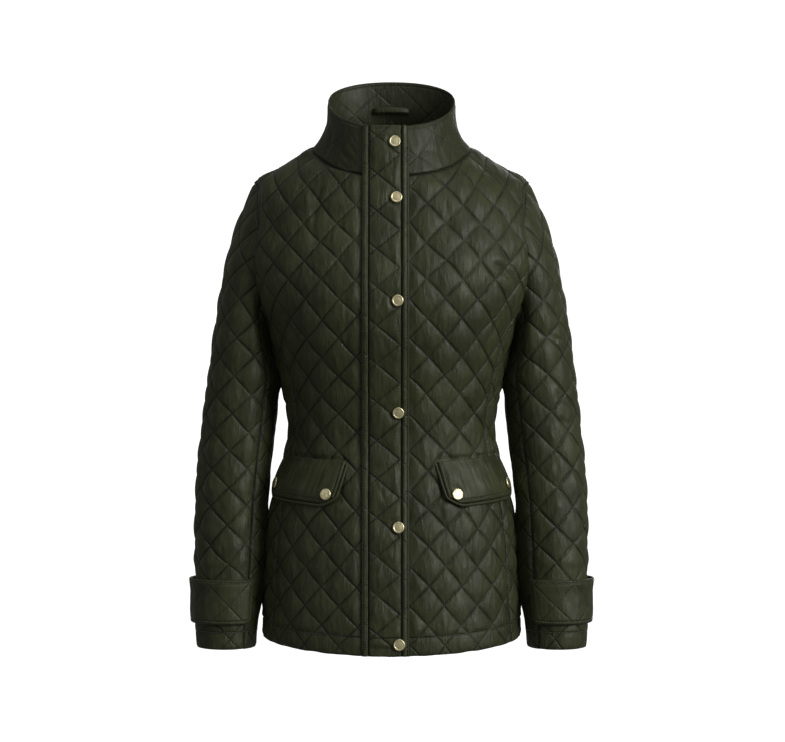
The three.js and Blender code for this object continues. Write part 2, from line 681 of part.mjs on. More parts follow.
function makeFlapBinding() {
  const stations = [
    ...[0.04, 0.3, 0.6, 0.85].map((down) => ({ across: 0, down, sideways: -1, downward: 0 })),
    { across: 0, down: 1, sideways: -0.6, downward: 0.8 },
    ...[1 / 6, 1 / 3, 0.5, 2 / 3, 5 / 6].map((across) => ({ across, down: 1, sideways: 0, downward: 1 })),
    { across: 1, down: 1, sideways: 0.6, downward: 0.8 },
    ...[0.85, 0.6, 0.3, 0.04].map((down) => ({ across: 1, down, sideways: 1, downward: 0 })),
  ];
  const lift = FLAP.lift + FLAP.thickness / 2;
  const points = stations.map(({ across, down, sideways, downward }) => {
    const beside = [0.05, -0.05].map((step) => flapPoint(across + step, down, lift));
    const alongEdge = unit(subtract(beside[0], beside[1]));
    const belowEdge = unit(subtract(flapPoint(across, 1, lift), flapPoint(across, 0.8, lift)));
    const outward = add(add([0, 0, 0], alongEdge, sideways), belowEdge, downward);
    return add(flapPoint(across, down, lift), outward, FLAP.bindingRadius + FLAP.bindingGap);
  });
  const route = points.map((point) => new THREE.Vector3(...point));
  const extrudePath = new THREE.CatmullRomCurve3(route, false, 'centripetal');
  const section = new THREE.Shape();
  section.absarc(0, 0, FLAP.bindingRadius, 0, 2 * Math.PI);
  const settings = { steps: 20, curveSegments: 3, extrudePath, bevelEnabled: false };
  return weld(new THREE.ExtrudeGeometry(section, settings));
}

// Joins the loose faces of a three.js geometry into one closed wall
function weld(geometry) {
  const source = geometry.index ? geometry.toNonIndexed() : geometry;
  const values = source.getAttribute('position').array;
  const positions = [];
  const faces = [];
  const seen = new Map();
  for (let index = 0; index < values.length; index += 3) {
    const point = [values[index], values[index + 1], values[index + 2]];
    const name = point.map((value) => Math.round(value * 1000)).join();
    if (!seen.has(name)) {
      seen.set(name, positions.length / 3);
      positions.push(...point);
    }
    faces.push(seen.get(name));
  }
  const kept = [];
  for (let index = 0; index < faces.length; index += 3) {
    const [a, b, c] = faces.slice(index, index + 3);
    if (a !== b && b !== c && a !== c) kept.push(a, b, c);
  }
  return { positions, faces: kept };
}

// Cuff tabs, on the wearer's left sleeve

function tabPoint(around, down, lift) {
  const cornerLift = around < 0.06 ? 8 * down ** 4 : 0;
  const z = mix(TAB.topZ, TAB.bottomZ, down) + cornerLift;
  let low = 0.5;
  let high = 1;
  for (let step = 0; step < 30; step += 1) {
    const middle = (low + high) / 2;
    if (sleevePoint(middle, 0, 0)[2] > z) low = middle;
    else high = middle;
  }
  return sleevePoint(low, mix(5.2, -4, around), lift);
}

function makeCuffTab() {
  const columns = 14;
  const rows = 3;
  const grid = (lift) => evenly(rows).map((down) => (
    evenly(columns).map((around) => tabPoint(around, 1 - down, lift))));
  return wallBetween(grid(TAB.lift), grid(TAB.lift + TAB.thickness));
}

// Hanger loop inside the back of the collar

function makeHangerLoop() {
  const columns = 8;
  const grid = (extra) => [0, 1].map((level) => evenly(columns).map((share) => {
    const angle = (share - 0.5) * Math.PI;
    const x = (LOOP.width / 2) * Math.sin(angle);
    const turn = 2 - Math.abs(x) / 92;
    const wall = collarPoint(x < 0 ? -turn : turn, LOOP.rise);
    const y = wall[1] - 0.4 - LOOP.bow * Math.cos(angle) - extra;
    return [x, y, wall[2] + (level - 0.5) * LOOP.height];
  }));
  return wallBetween(grid(0), grid(LOOP.thickness));
}

// Snaps

function makeSnap(centre, normal) {
  const profile = [
    [0, 0],
    [SNAP.radius - 0.8, 0],
    [SNAP.radius, 1],
    [SNAP.radius - 0.3, 2.2],
    [SNAP.radius - SNAP.rimWidth, SNAP.height - 0.3],
    [SNAP.radius - SNAP.rimWidth - 0.6, SNAP.height - 1],
    [2.4, SNAP.height - 0.3],
    [0, SNAP.height],
  ].map(([radius, height]) => new THREE.Vector2(radius, height));
  const geometry = new THREE.LatheGeometry(profile, SNAP.sides);
  const [up, out] = [new THREE.Vector3(0, 1, 0), new THREE.Vector3(...normal)];
  const turn = new THREE.Quaternion().setFromUnitVectors(up, out);
  geometry.applyQuaternion(turn);
  geometry.translate(...centre);
  return weld(geometry);
}

function placketSnap({ x, z }) {
  const rise = (z - PLACKET_BOTTOM_Z) / (PLACKET_TOP_Z - PLACKET_BOTTOM_Z);
  const top = placketPoint(x, rise + 0.01, PLACKET.thickness);
  const bottom = placketPoint(x, rise - 0.01, PLACKET.thickness);
  const up = unit(subtract(top, bottom));
  const across = unit(subtract(placketPoint(x + 6, rise, 0), placketPoint(x - 6, rise, 0)));
  const normal = unit(cross(across, up));
  return makeSnap(add(placketPoint(x, rise, PLACKET.thickness), normal, 2 * SNAP.seat), normal);
}

function flapSnap({ column, z }) {
  const normal = bodyNormal(column, z);
  const { topInner, topOuter, bottomInner, bottomOuter } = FLAP_CORNERS;
  const across = (column - bottomInner.column) / (bottomOuter.column - bottomInner.column);
  const topZ = mix(topInner.z, topOuter.z, across);
  const bottomZ = mix(bottomInner.z, bottomOuter.z, across);
  const down = (topZ - z) / (topZ - bottomZ);
  const base = FLAP.lift + FLAP.thickness - flapSink(down) + SNAP.seat;
  return makeSnap(add(bodyPoint(column, z), normal, base), normal);
}

// Build

const mirrorSolid = (solid) => solid.mirror([1, 0, 0]);
const armhole = makeArmholeCutter();
const clearance = makeSleeveClearance();
const { room } = PLACKET;
const placketCloth = makePlacketStrip(PLACKET.left - room, PLACKET.right + room, 4, -0.6, CUT.over, false);
const placketTop = toSolid(placketCloth);
const flapClearance = makeFlapClearance();
const frontSeam = makeSeamCutter(FRONT_SEAM);
const backSeam = makeSeamCutter(BACK_SEAM);
const centreSlot = Manifold.cube([SEAM_GAP, 200, 900], true).translate([0, -100, -350]);
const shoulderSlot = Manifold.cube([600, SEAM_GAP, 62], true).translate([0, SHOULDER_Y, -29]);
const cutters = [
  armhole, mirrorSolid(armhole), clearance, mirrorSolid(clearance), placketTop,
  flapClearance, mirrorSolid(flapClearance),
  frontSeam, mirrorSolid(frontSeam), backSeam, mirrorSolid(backSeam), centreSlot, shoulderSlot,
];
const neckNormal = unit([0, NECK.slope, -1]);
const neckOffset = neckNormal[1] * SHOULDER_Y + neckNormal[2] * NECK.sideZ;
const bodyCloth = cutters.reduce((solid, cutter) => solid.subtract(cutter), makeBodyTube())
  .trimByPlane(neckNormal, neckOffset);

const largest = bodyCloth.decompose().filter((solid) => solid.volume() > LEAST_PANEL);
for (const solid of largest) {
  const { min, max } = solid.boundingBox();
  const middleX = (min[0] + max[0]) / 2;
  const side = middleX > 0 ? 'left' : 'right';
  const isBack = min[0] < -60 && max[0] > 60;
  const isFront = Math.min(Math.abs(min[0]), Math.abs(max[0])) < 5;
  const name = isBack ? 'back' : `${isFront ? 'front' : 'side_panel'}_${side}`;
  addPiece(name, toWall(solid), isBack || isFront ? OLIVE : OLIVE_DARK);
}

const topSleeve = makeSleevePanel(BACK_SEAM_COLUMN, SLEEVE_COLUMNS + FRONT_SEAM_COLUMN);
const underSleeve = makeSleevePanel(FRONT_SEAM_COLUMN, BACK_SEAM_COLUMN);
const flap = makeFlap();
const flapBinding = makeFlapBinding();
const cuffTab = makeCuffTab();
for (const [side, place] of [['left', (wall) => wall], ['right', mirrorWall]]) {
  addPiece(`top_sleeve_${side}`, place(topSleeve), OLIVE);
  addPiece(`under_sleeve_${side}`, place(underSleeve), OLIVE_DARK);
  addPiece(`pocket_flap_${side}`, place(flap), OLIVE_LIGHT);
  addPiece(`pocket_flap_binding_${side}`, place(flapBinding), OLIVE_DARK);
  addPiece(`cuff_tab_${side}`, place(cuffTab), OLIVE_LIGHT);
  FLAP_SNAPS.forEach((snap, index) => {
    addPiece(`flap_snap_${side}_${index + 1}`, place(flapSnap(snap)), GOLD, 0.3, 1);
  });
}

addPiece('collar', makeCollar(), OLIVE_LIGHT);
const foldEnd = PLACKET.left + PLACKET.foldWidth;
const bindingStart = PLACKET.right - PLACKET.bindingWidth;
const halfGap = SEAM_GAP / 2;
const strips = [
  ['placket', foldEnd + halfGap, bindingStart - halfGap, PLACKET.thickness],
  ['placket_fold_strip', PLACKET.left, foldEnd - halfGap, PLACKET.foldThickness],
  ['placket_edge_binding', bindingStart + halfGap, PLACKET.right, PLACKET.bindingThickness],
];
for (const [name, from, to, thickness] of strips) {
  const puffed = name === 'placket';
  const wall = makePlacketStrip(from, to, puffed ? 2 : 1, 0, thickness, puffed);
  addPiece(name, wall, puffed ? OLIVE : OLIVE_DARK);
}
addPiece('hanger_loop', makeHangerLoop(), OLIVE_DARK);
PLACKET_SNAPS.forEach((snap, index) => {
  addPiece(`placket_snap_${index + 1}`, placketSnap(snap), GOLD, 0.3, 1);
});

export default jacket;
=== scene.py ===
"""Looks of a quilted jacket with a stand collar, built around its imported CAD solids.

The cloth's surfaces are worked out in millimetres, in the CAD frame (+Z up, the
front faces -Y, the wearer's left is +X), and written to Blender in metres.
"""

import logging
import math
from abc import ABC, abstractmethod
from dataclasses import dataclass, field
from enum import Enum
from typing import Callable, Sequence

import bpy
import numpy as np
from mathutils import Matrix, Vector

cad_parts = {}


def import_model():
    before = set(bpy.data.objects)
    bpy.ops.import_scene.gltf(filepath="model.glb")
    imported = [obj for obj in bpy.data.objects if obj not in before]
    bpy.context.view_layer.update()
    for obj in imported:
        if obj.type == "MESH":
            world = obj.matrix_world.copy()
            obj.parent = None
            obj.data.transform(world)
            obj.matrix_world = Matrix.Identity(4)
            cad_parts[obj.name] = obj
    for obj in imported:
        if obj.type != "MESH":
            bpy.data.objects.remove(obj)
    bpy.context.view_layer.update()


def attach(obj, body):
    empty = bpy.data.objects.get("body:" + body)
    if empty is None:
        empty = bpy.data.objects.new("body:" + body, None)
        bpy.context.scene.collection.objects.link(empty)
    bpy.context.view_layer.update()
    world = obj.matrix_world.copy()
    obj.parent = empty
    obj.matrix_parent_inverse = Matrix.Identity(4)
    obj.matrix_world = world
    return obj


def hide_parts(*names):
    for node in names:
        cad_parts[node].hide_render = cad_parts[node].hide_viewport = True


LOG = logging.getLogger("jacket")
MM = 0.001
Array = np.ndarray


class Side(Enum):
    """The wearer's two sides, by the sign of X."""

    LEFT = 1
    RIGHT = -1

    @property
    def word(self) -> str:
        """The side's name as nodes use it."""
        return self.name.lower()


class Slot(Enum):
    """Material slot names, handed to each added piece."""

    SHELL = "shell"
    TRIM = "trim"
    SNAP = "snap"


@dataclass(frozen=True)
class Cloth:
    """Thickness and quilting of the padded cloth, in millimetres."""

    thickness: float = 2.0
    puff: float = 3.7
    half_width: float = 22.2
    half_height: float = 23.8
    phase_z: float = -657.4
    steps: int = 10
    groove_power: float = 0.55
    warp: float = 2.3
    seam_gap: float = 0.2
    shoulder_lap: float = 0.4
    seam_round: float = 3.2
    seam_fade: float = 11.0


@dataclass(frozen=True)
class Garment:
    """Driving sizes of the garment's form, in millimetres and columns."""

    hem_side_z: float = -631.0
    hem_drop: float = 16.0
    waist_z: float = -368.0
    quarter: float = 11.0
    shoulder_y: float = 8.0
    neck_slope: float = 0.47
    neck_side_z: float = -2.6
    hem_fold: float = 23.0
    cuff_fold: float = 22.0
    sleeve_columns: float = 14.0
    sleeve_front_seam: float = 5.0
    sleeve_back_seam: float = -4.0
    armhole_lap: float = 0.8
    sleeve_seat: float = -7.0


@dataclass(frozen=True)
class Crease:
    """One soft trough in a surface: its two ends, depth and half width, in millimetres."""

    start: tuple[float, float]
    end: tuple[float, float]
    depth: float
    width: float


CLOTH = Cloth()
GARMENT = Garment()


def smooth(value: Array) -> Array:
    """An even S-curve from 0 to 1."""
    share = np.clip(value, 0.0, 1.0)
    return share * share * (3.0 - 2.0 * share)


def mix(a: Array, b: Array, share: Array) -> Array:
    """A value the given share of the way from a to b."""
    return a + (b - a) * share


def unit(vectors: Array) -> Array:
    """Vectors cut to length one."""
    return vectors / np.maximum(np.linalg.norm(vectors, axis=-1, keepdims=True), 1e-9)


def chance(i: Array, j: Array, seed: float) -> Array:
    """A repeatable random number for each pair of whole numbers."""
    return np.modf(np.abs(np.sin(i * 127.1 + j * 311.7 + seed * 74.7) * 43758.5453))[0]


def noise(x: Array, y: Array, seed: float) -> Array:
    """Smooth noise from -1 to 1 with features one unit wide."""
    i, j = np.floor(x), np.floor(y)
    across, up = smooth(x - i), smooth(y - j)
    low = mix(chance(i, j, seed), chance(i + 1, j, seed), across)
    high = mix(chance(i, j + 1, seed), chance(i + 1, j + 1, seed), across)
    return 2.0 * mix(low, high, up) - 1.0


def groove(distance: Array, width: float) -> Array:
    """A bell that is 1 on a line."""
    return np.exp(-((distance / width) ** 2))


class Table:
    """Smooth values of named columns at places along the first column."""

    def __init__(self, names: Sequence[str], rows: Sequence[Sequence[float]]) -> None:
        """Keeps the rows as one array for each column."""
        values = np.array(rows, dtype=float)
        self.keys = values[:, 0]
        self.columns = {name: values[:, index] for index, name in enumerate(names)}

    def at(self, name: str, place: Array) -> Array:
        """One column's values between the rows.

        Args:
            name: Column.
            place: Key values.

        Returns:
            A cubic through the rows, each with the slope from its neighbours.
        """
        keys, values = self.keys, self.columns[name]
        slopes = np.gradient(values, keys, edge_order=1)
        slopes[1:-1] = (values[2:] - values[:-2]) / (keys[2:] - keys[:-2])
        here = np.clip(place, keys[0], keys[-1])
        row = np.clip(np.searchsorted(keys, here, side="right") - 1, 0, len(keys) - 2)
        span = keys[row + 1] - keys[row]
        t = (here - keys[row]) / span
        square, cube = t * t, t * t * t
        return (
            (2 * cube - 3 * square + 1) * values[row]
            + (cube - 2 * square + t) * span * slopes[row]
            + (3 * square - 2 * cube) * values[row + 1]
            + (cube - square) * span * slopes[row + 1]
        )


BODY_SECTIONS = Table(
    ("z", "half_width", "front", "back", "face_bend", "side_bend"),
    (
        (-631, 163.5, -126, 118, 2.2, 2.3),
        (-570, 159.5, -122, 117, 2.2, 2.3),
        (-507, 156.5, -117, 112, 2.2, 2.3),
        (-460, 150, -111, 104, 2.2, 2.3),
        (-430, 143, -107, 97, 2.2, 2.3),
        (-400, 134.5, -103, 91, 2.2, 2.3),
        (-368, 129.5, -102, 86, 2.2, 2.3),
        (-321, 135.5, -108.5, 89, 2.2, 2.3),
        (-290, 142, -115, 93, 2.2, 2.3),
        (-241, 155, -124, 101, 2.3, 2.4),
        (-190, 178, -126, 105, 2.3, 2.5),
        (-150, 189, -118, 105, 2.3, 2.4),
        (-110, 191, -108, 101, 2.2, 2.0),
        (-76, 189, -101, 96, 2.0, 1.6),
        (-52, 179, -95, 91, 1.8, 1.25),
        (-26, 134, -87, 84, 1.6, 1.1),
        (-12, 113, -81, 79, 1.7, 1.15),
        (0, 90, -76, 73, 1.8, 1.4),
        (12, 87, -70, 66, 2.0, 1.9),
        (32, 84, -62, 56, 2.0, 2.0),
    ),
)
SLEEVE_ROWS = (
    (181.6, -52, 157.6, -241, 8, 62),
    (192, -76, 161.5, -247, 8, 61),
    (201, -102, 162, -253, 8, 60),
    (208, -131, 159.5, -260, 8, 59),
    (214, -162, 156.8, -268, 8, 58),
    (220, -200, 154, -278, 8, 57),
    (226, -244, 150.6, -290, 8, 56),
    (231, -285, 147.6, -305, 8, 54),
    (236, -321, 148, -325, 7, 52),
    (241, -368, 151.5, -368, 4, 50),
    (246, -414, 157, -414, 0, 48),
    (247.5, -476, 163.5, -476, -8, 46),
    (248, -538, 166.6, -538, -15, 44),
    (248, -584, 170.5, -584, -19, 42),
    (248, -625, 174, -625, -23, 41),
    (247, -646, 175, -646, -24, 41),
)
FRONT_SEAM = Table(
    ("z", "column"),
    ((-700, 8.2), (-460, 7.9), (-368, 7.8), (-270, 8.0), (-215, 9.0), (-175, 11.4)),
)
BACK_SEAM = Table(
    ("z", "column"),
    ((-700, 15.4), (-460, 15.6), (-368, 15.8), (-270, 15.4), (-200, 14.2), (-155, 11.2), (-140, 9.0)),
)


class Arcs:
    """Angles that part rounded quarter outlines into equal lengths, level by level."""

    ANGLES = 193
    SHARES = 129

    def __init__(self, keys: Array, width: Array, depth: Array, face: Array, side: Array) -> None:
        """Measures each level's outline."""
        angles = np.linspace(0.0, math.pi / 2, self.ANGLES)
        x = width[:, None] * np.sin(angles) ** (2 / face[:, None])
        y = depth[:, None] * np.maximum(np.cos(angles), 0.0) ** (2 / side[:, None])
        steps = np.hypot(np.diff(x, axis=1), np.diff(y, axis=1))
        lengths = np.concatenate([np.zeros((len(keys), 1)), np.cumsum(steps, axis=1)], axis=1)
        shares = np.linspace(0.0, 1.0, self.SHARES)
        self.keys = keys
        self.total = lengths[:, -1]
        self.angles = np.stack([np.interp(shares, row / row[-1], angles) for row in lengths])

    def length(self, key: Array) -> Array:
        """The quarter's length."""
        return np.interp(key, self.keys, self.total)

    def angle(self, key: Array, share: Array) -> Array:
        """The angle at a share of the quarter's length."""
        spacing = self.keys[1] - self.keys[0]
        row = np.clip((key - self.keys[0]) / spacing, 0, len(self.keys) - 1.001)
        place = np.clip(share, 0.0, 1.0) * (self.SHARES - 1.001)
        i, j = row.astype(int), place.astype(int)
        up, along = row - i, place - j
        low = mix(self.angles[i, j], self.angles[i, j + 1], along)
        high = mix(self.angles[i + 1, j], self.angles[i + 1, j + 1], along)
        return mix(low, high, up)


class BodyForm:
    """The body cloth's plain inner face, by column round the body and height."""

    def __init__(self) -> None:
        """Measures the outlines once."""
        levels = np.arange(-668.0, 46.0, 1.5)
        size = self.section(levels)
        bends = (size["face_bend"], size["side_bend"])
        front_depth = size["centre"] - size["front"]
        back_depth = size["back"] - size["centre"]
        self.front_arcs = Arcs(levels, size["half_width"], front_depth, *bends)
        self.back_arcs = Arcs(levels, size["half_width"], back_depth, *bends)

    def section(self, z: Array) -> dict[str, Array]:
        """The outline's sizes at a height."""
        names = ("half_width", "front", "back", "face_bend", "side_bend")
        sizes = {name: BODY_SECTIONS.at(name, z) for name in names}
        rise = (z - GARMENT.hem_side_z) / (GARMENT.waist_z - GARMENT.hem_side_z)
        sizes["centre"] = GARMENT.shoulder_y * smooth(rise)
        return sizes

    def point(self, column: Array, z: Array) -> Array:
        """A point of the inner face.

        Args:
            column: 0 at the centre front, 11 at the wearer's left side, 22 at the back.
            z: Heights.

        Returns:
            Points: width times sine, and depth times cosine, to the outline's bends.
        """
        column, z = np.broadcast_arrays(np.asarray(column, float), np.asarray(z, float))
        size = self.section(z)
        turned = np.mod(column + 22.0, 44.0) - 22.0
        distance = np.abs(turned) / GARMENT.quarter
        in_front = distance <= 1.0
        share = np.where(in_front, distance, 2.0 - distance)
        front, back = self.front_arcs.angle(z, share), self.back_arcs.angle(z, share)
        angle = np.where(in_front, front, back)
        depth = np.where(in_front, size["centre"] - size["front"], size["back"] - size["centre"])
        x = np.sign(turned) * size["half_width"] * np.sin(angle) ** (2 / size["face_bend"])
        cosine = np.maximum(np.cos(angle), 0.0)
        y = depth * cosine ** (2 / size["side_bend"]) * np.where(in_front, -1.0, 1.0)
        return np.stack([x, size["centre"] + y, z], axis=-1)

    def normal(self, column: Array, z: Array) -> Array:
        """Outward directions of the inner face."""
        along = self.point(column + 0.3, z) - self.point(column - 0.3, z)
        up = self.point(column, z + 3.0) - self.point(column, z - 3.0)
        return unit(np.cross(along, up))

    def column_width(self, column: Array, z: Array) -> Array:
        """How wide one column is."""
        in_front = np.abs(column) <= GARMENT.quarter
        length = np.where(in_front, self.front_arcs.length(z), self.back_arcs.length(z))
        return length / GARMENT.quarter

    def depth_at(self, x: Array, z: Array) -> Array:
        """The front face's depth at a place across."""
        size = self.section(z)
        reach = np.clip(1 - np.abs(x / size["half_width"]) ** size["face_bend"], 0.0, 1.0)
        depth = size["centre"] - size["front"]
        return size["centre"] - depth * reach ** (1 / size["side_bend"])

    def width_at(self, y: Array, z: Array) -> Array:
        """The side's distance out at a place from front to back."""
        size = self.section(z)
        front, back = size["centre"] - size["front"], size["back"] - size["centre"]
        depth = np.where(y < size["centre"], front, back)
        reach = np.clip(1 - np.abs((y - size["centre"]) / depth) ** size["side_bend"], 0.0, 1.0)
        return size["half_width"] * reach ** (1 / size["face_bend"])


class SleeveForm:
    """The sleeve cloth's plain inner face, on the wearer's left."""

    def __init__(self, body: BodyForm) -> None:
        """Measures the rings once.

        Args:
            body: The body form that the sleeve head sits on.
        """
        rows = np.array(SLEEVE_ROWS, dtype=float)
        steps = np.hypot(np.diff(rows[:, 0]), np.diff(rows[:, 1]))
        lengths = np.concatenate([[0.0], np.cumsum(steps)])
        names = ("length", "outer_x", "outer_z", "inner_x", "inner_z", "centre_y", "half_depth")
        self.body = body
        self.length = lengths[-1]
        self.table = Table(names, np.column_stack([lengths, rows]))
        keys = np.linspace(0.0, 1.0, 240)
        size = self.ring(keys)
        round_bend = np.full_like(keys, 2.0)
        self.arcs = Arcs(keys, size["reach"], size["half_depth"], round_bend, round_bend)
        self.measure_slices()

    def ring(self, share: Array) -> dict[str, Array]:
        """The ring's sizes at a share of the sleeve's length.

        Args:
            share: 0 at the armhole, 1 at the cuff.

        Returns:
            Its centre, the direction to its outer end, its reach and its half depth.
        """
        place = share * self.length
        read = {name: self.table.at(name, place) for name in self.table.columns}
        outer = np.stack([read["outer_x"], read["centre_y"], read["outer_z"]], axis=-1)
        inner = np.stack([read["inner_x"], read["centre_y"], read["inner_z"]], axis=-1)
        return {
            "centre": (outer + inner) / 2,
            "outward": unit(outer - inner),
            "reach": np.linalg.norm(outer - inner, axis=-1) / 2,
            "half_depth": read["half_depth"],
        }

    def oval(self, share: Array, column: Array, lift: Array) -> Array:
        """A point on the plain ovals.

        Args:
            share: 0 at the armhole, 1 at the cuff.
            column: 0 on the outer line, growing over the front.
            lift: Distance out from the inner face.

        Returns:
            Points, moved out in the ring's own plane.
        """
        size = self.ring(share)
        quarter = GARMENT.sleeve_columns / 4
        turned = np.mod(column, GARMENT.sleeve_columns)
        folded = np.abs(turned - 2 * quarter)
        inside = folded < quarter
        part = np.where(inside, 1 - folded / quarter, folded / quarter - 1)
        angle = self.arcs.angle(share, part)
        out_sign = np.where(inside, -1.0, 1.0)
        front_sign = np.where(turned < 2 * quarter, -1.0, 1.0)
        along = size["reach"] * np.sin(angle) * out_sign
        across = size["half_depth"] * np.maximum(np.cos(angle), 0.0) * front_sign
        slope_x, slope_y = along / size["reach"] ** 2, across / size["half_depth"] ** 2
        length = np.maximum(np.hypot(slope_x, slope_y), 1e-9)
        along = along + lift * slope_x / length
        across = across + lift * slope_y / length
        point = size["centre"] + size["outward"] * along[..., None]
        point[..., 1] += across
        return point

    def point(self, share: Array, column: Array, lift: Array) -> Array:
        """A point of the sleeve, with its head set on the armhole's edge."""
        share, column, lift = np.broadcast_arrays(share, column, lift)
        point = self.oval(share, column, lift)
        start = self.oval(np.zeros_like(share), column, np.zeros_like(share))
        seat = self.body.width_at(start[..., 1], start[..., 2]) + GARMENT.sleeve_seat
        seat = seat + 4.2 * groove(np.mod(column + 14, 28) - 14, 3.5)
        point[..., 0] += (seat - start[..., 0]) * (1 - smooth(share / 0.2))
        return point

    def share_at(self, column: Array, z: Array) -> Array:
        """The share at which a line down the sleeve reaches a height."""
        low, high = np.zeros_like(z), np.ones_like(z)
        for _ in range(22):
            middle = (low + high) / 2
            above = self.oval(middle, column, np.zeros_like(z))[..., 2] > z
            low, high = np.where(above, middle, low), np.where(above, high, middle)
        return (low + high) / 2

    def measure_slices(self) -> None:
        """Measures level slices, so that quilting keeps its size on the cloth.

        Each slice's points are joined by straight steps, whose lengths add up
        from the outer line, forwards round the front and backwards round the back.
        """
        columns = np.linspace(-7.0, 14.0, 169)
        levels = np.arange(-672.0, -40.0, 4.0)
        column, z = np.meshgrid(columns, levels)
        points = self.point(self.share_at(column, z), column, 0.0)[..., :2]
        steps = np.linalg.norm(np.diff(points, axis=1), axis=2)
        lengths = np.concatenate([np.zeros((len(levels), 1)), np.cumsum(steps, axis=1)], axis=1)
        middle = int(np.argmin(np.abs(columns)))
        self.levels = levels
        self.slice_columns = columns
        self.slice_lengths = lengths - lengths[:, middle : middle + 1]

    def column_at(self, distance: Array, z: Array, middle: float) -> Array:
        """The column at a distance round a level slice.

        Args:
            distance: Millimetres from the middle line, towards the front first.
            z: Heights.
            middle: The middle line's column.

        Returns:
            Columns, read between the two nearest slices.
        """
        place = np.clip((z - self.levels[0]) / 4.0, 0, len(self.levels) - 1.001)
        row = place.astype(int)
        reach = np.arange(-280.0, 281.0, 2.0)
        start = np.argmin(np.abs(self.slice_columns - middle))
        table = np.stack([
            np.interp(reach, lengths - lengths[start], self.slice_columns)
            for lengths in self.slice_lengths
        ])
        across = np.clip((distance + 280.0) / 2.0, 0, len(reach) - 1.001)
        i = across.astype(int)
        low = mix(table[row, i], table[row, i + 1], across - i)
        high = mix(table[row + 1, i], table[row + 1, i + 1], across - i)
        return mix(low, high, place - row)


def neck_plane(y: Array) -> Array:
    """Height of the neckline's plane."""
    return GARMENT.neck_side_z + GARMENT.neck_slope * (y - GARMENT.shoulder_y)


@dataclass(frozen=True)
class CollarSizes:
    """Rim and relief of the stand collar, in millimetres."""

    rim_width: float = 80.0
    rim_front: float = 79.0
    rim_back: float = 57.0
    rim_centre_y: float = -5.0
    rim_front_z: float = 13.0
    rim_slope: float = 0.53
    rim_bend: float = 2.2
    flare: float = 2.8
    seat: float = 0.4
    columns: int = 260
    rows: int = 30
    puff: float = 0.6
    half_width: float = 30.0
    half_height: float = 27.0


class CollarForm:
    """The collar cloth's plain inner face, by turn round the neck and rise."""

    def __init__(self, body: BodyForm, sizes: CollarSizes) -> None:
        """Finds the neckline on the body.

        Args:
            body: The body form.
            sizes: The collar's sizes.
        """
        columns = np.linspace(0.0, 22.0, 353)
        low, high = np.full_like(columns, -62.0), np.full_like(columns, 31.0)
        for _ in range(40):
            middle = (low + high) / 2
            below = middle < neck_plane(body.point(columns, middle)[:, 1])
            low, high = np.where(below, middle, low), np.where(below, high, middle)
        points = body.point(columns, (low + high) / 2)
        side = int(np.argmax(points[:, 1] >= GARMENT.shoulder_y))
        self.sizes = sizes
        self.neckline = (self.measured(points[: side + 1]), self.measured(points[side:]))
        depths = np.array([sizes.rim_front, sizes.rim_back])
        bend = np.full(2, sizes.rim_bend)
        self.rim_arcs = Arcs(np.array([0.0, 1.0]), np.full(2, sizes.rim_width), depths, bend, bend)

    @staticmethod
    def measured(points: Array) -> tuple[Array, Array]:
        """A curve with its share of length at each point."""
        steps = np.linalg.norm(np.diff(points, axis=0), axis=1)
        lengths = np.concatenate([[0.0], np.cumsum(steps)])
        return lengths / lengths[-1], points

    def neck(self, distance: Array) -> Array:
        """The neckline on the wearer's left."""
        (front_share, front), (back_share, back) = self.neckline
        found = []
        for axis in range(3):
            ahead = np.interp(distance, front_share, front[:, axis])
            behind = np.interp(distance - 1, back_share, back[:, axis])
            found.append(np.where(distance <= 1, ahead, behind))
        return np.stack(found, axis=-1)

    def rim(self, distance: Array) -> Array:
        """The collar's upper edge on the wearer's left.

        Args:
            distance: 0 at the centre front, 2 at the centre back.

        Returns:
            Points of the rim, on a plane that rises to the back.
        """
        sizes = self.sizes
        in_front = distance <= 1
        share = np.where(in_front, distance, 2 - distance)
        half = np.where(in_front, 0.0, 1.0)
        angle = self.rim_arcs.angle(half * 0.999, share)
        depth = np.where(in_front, sizes.rim_front, sizes.rim_back)
        x = sizes.rim_width * np.sin(angle) ** (2 / sizes.rim_bend)
        reach = depth * np.maximum(np.cos(angle), 0.0) ** (2 / sizes.rim_bend)
        y = sizes.rim_centre_y + reach * np.where(in_front, -1.0, 1.0)
        front_y = sizes.rim_centre_y - sizes.rim_front
        return np.stack([x, y, sizes.rim_front_z + sizes.rim_slope * (y - front_y)], axis=-1)

    def point(self, turn: Array, rise: Array) -> Array:
        """A point of the collar's inner face."""
        turn, rise = np.broadcast_arrays(np.asarray(turn, float), np.asarray(rise, float))
        distance = np.abs(turn)
        low, high = self.neck(distance), self.rim(distance)
        steep = 1 - (1 - rise) ** self.sizes.flare
        drawn = mix(rise, steep, smooth((distance - 0.25) / 0.4))[..., None]
        flat = mix(low[..., :2], high[..., :2], drawn)
        z = mix(low[..., 2], high[..., 2], rise) + (1 - rise) * self.sizes.seat
        return np.stack([np.sign(turn) * flat[..., 0], flat[..., 1], z], axis=-1)

    def normal(self, turn: Array, rise: Array) -> Array:
        """Outward directions of the collar."""
        centred = np.clip(turn, -1.97, 1.97)
        along = self.point(centred + 0.03, rise) - self.point(centred - 0.03, rise)
        above, below = np.minimum(rise + 0.1, 1.0), np.maximum(rise - 0.1, 0.0)
        return unit(np.cross(along, self.point(centred, above) - self.point(centred, below)))


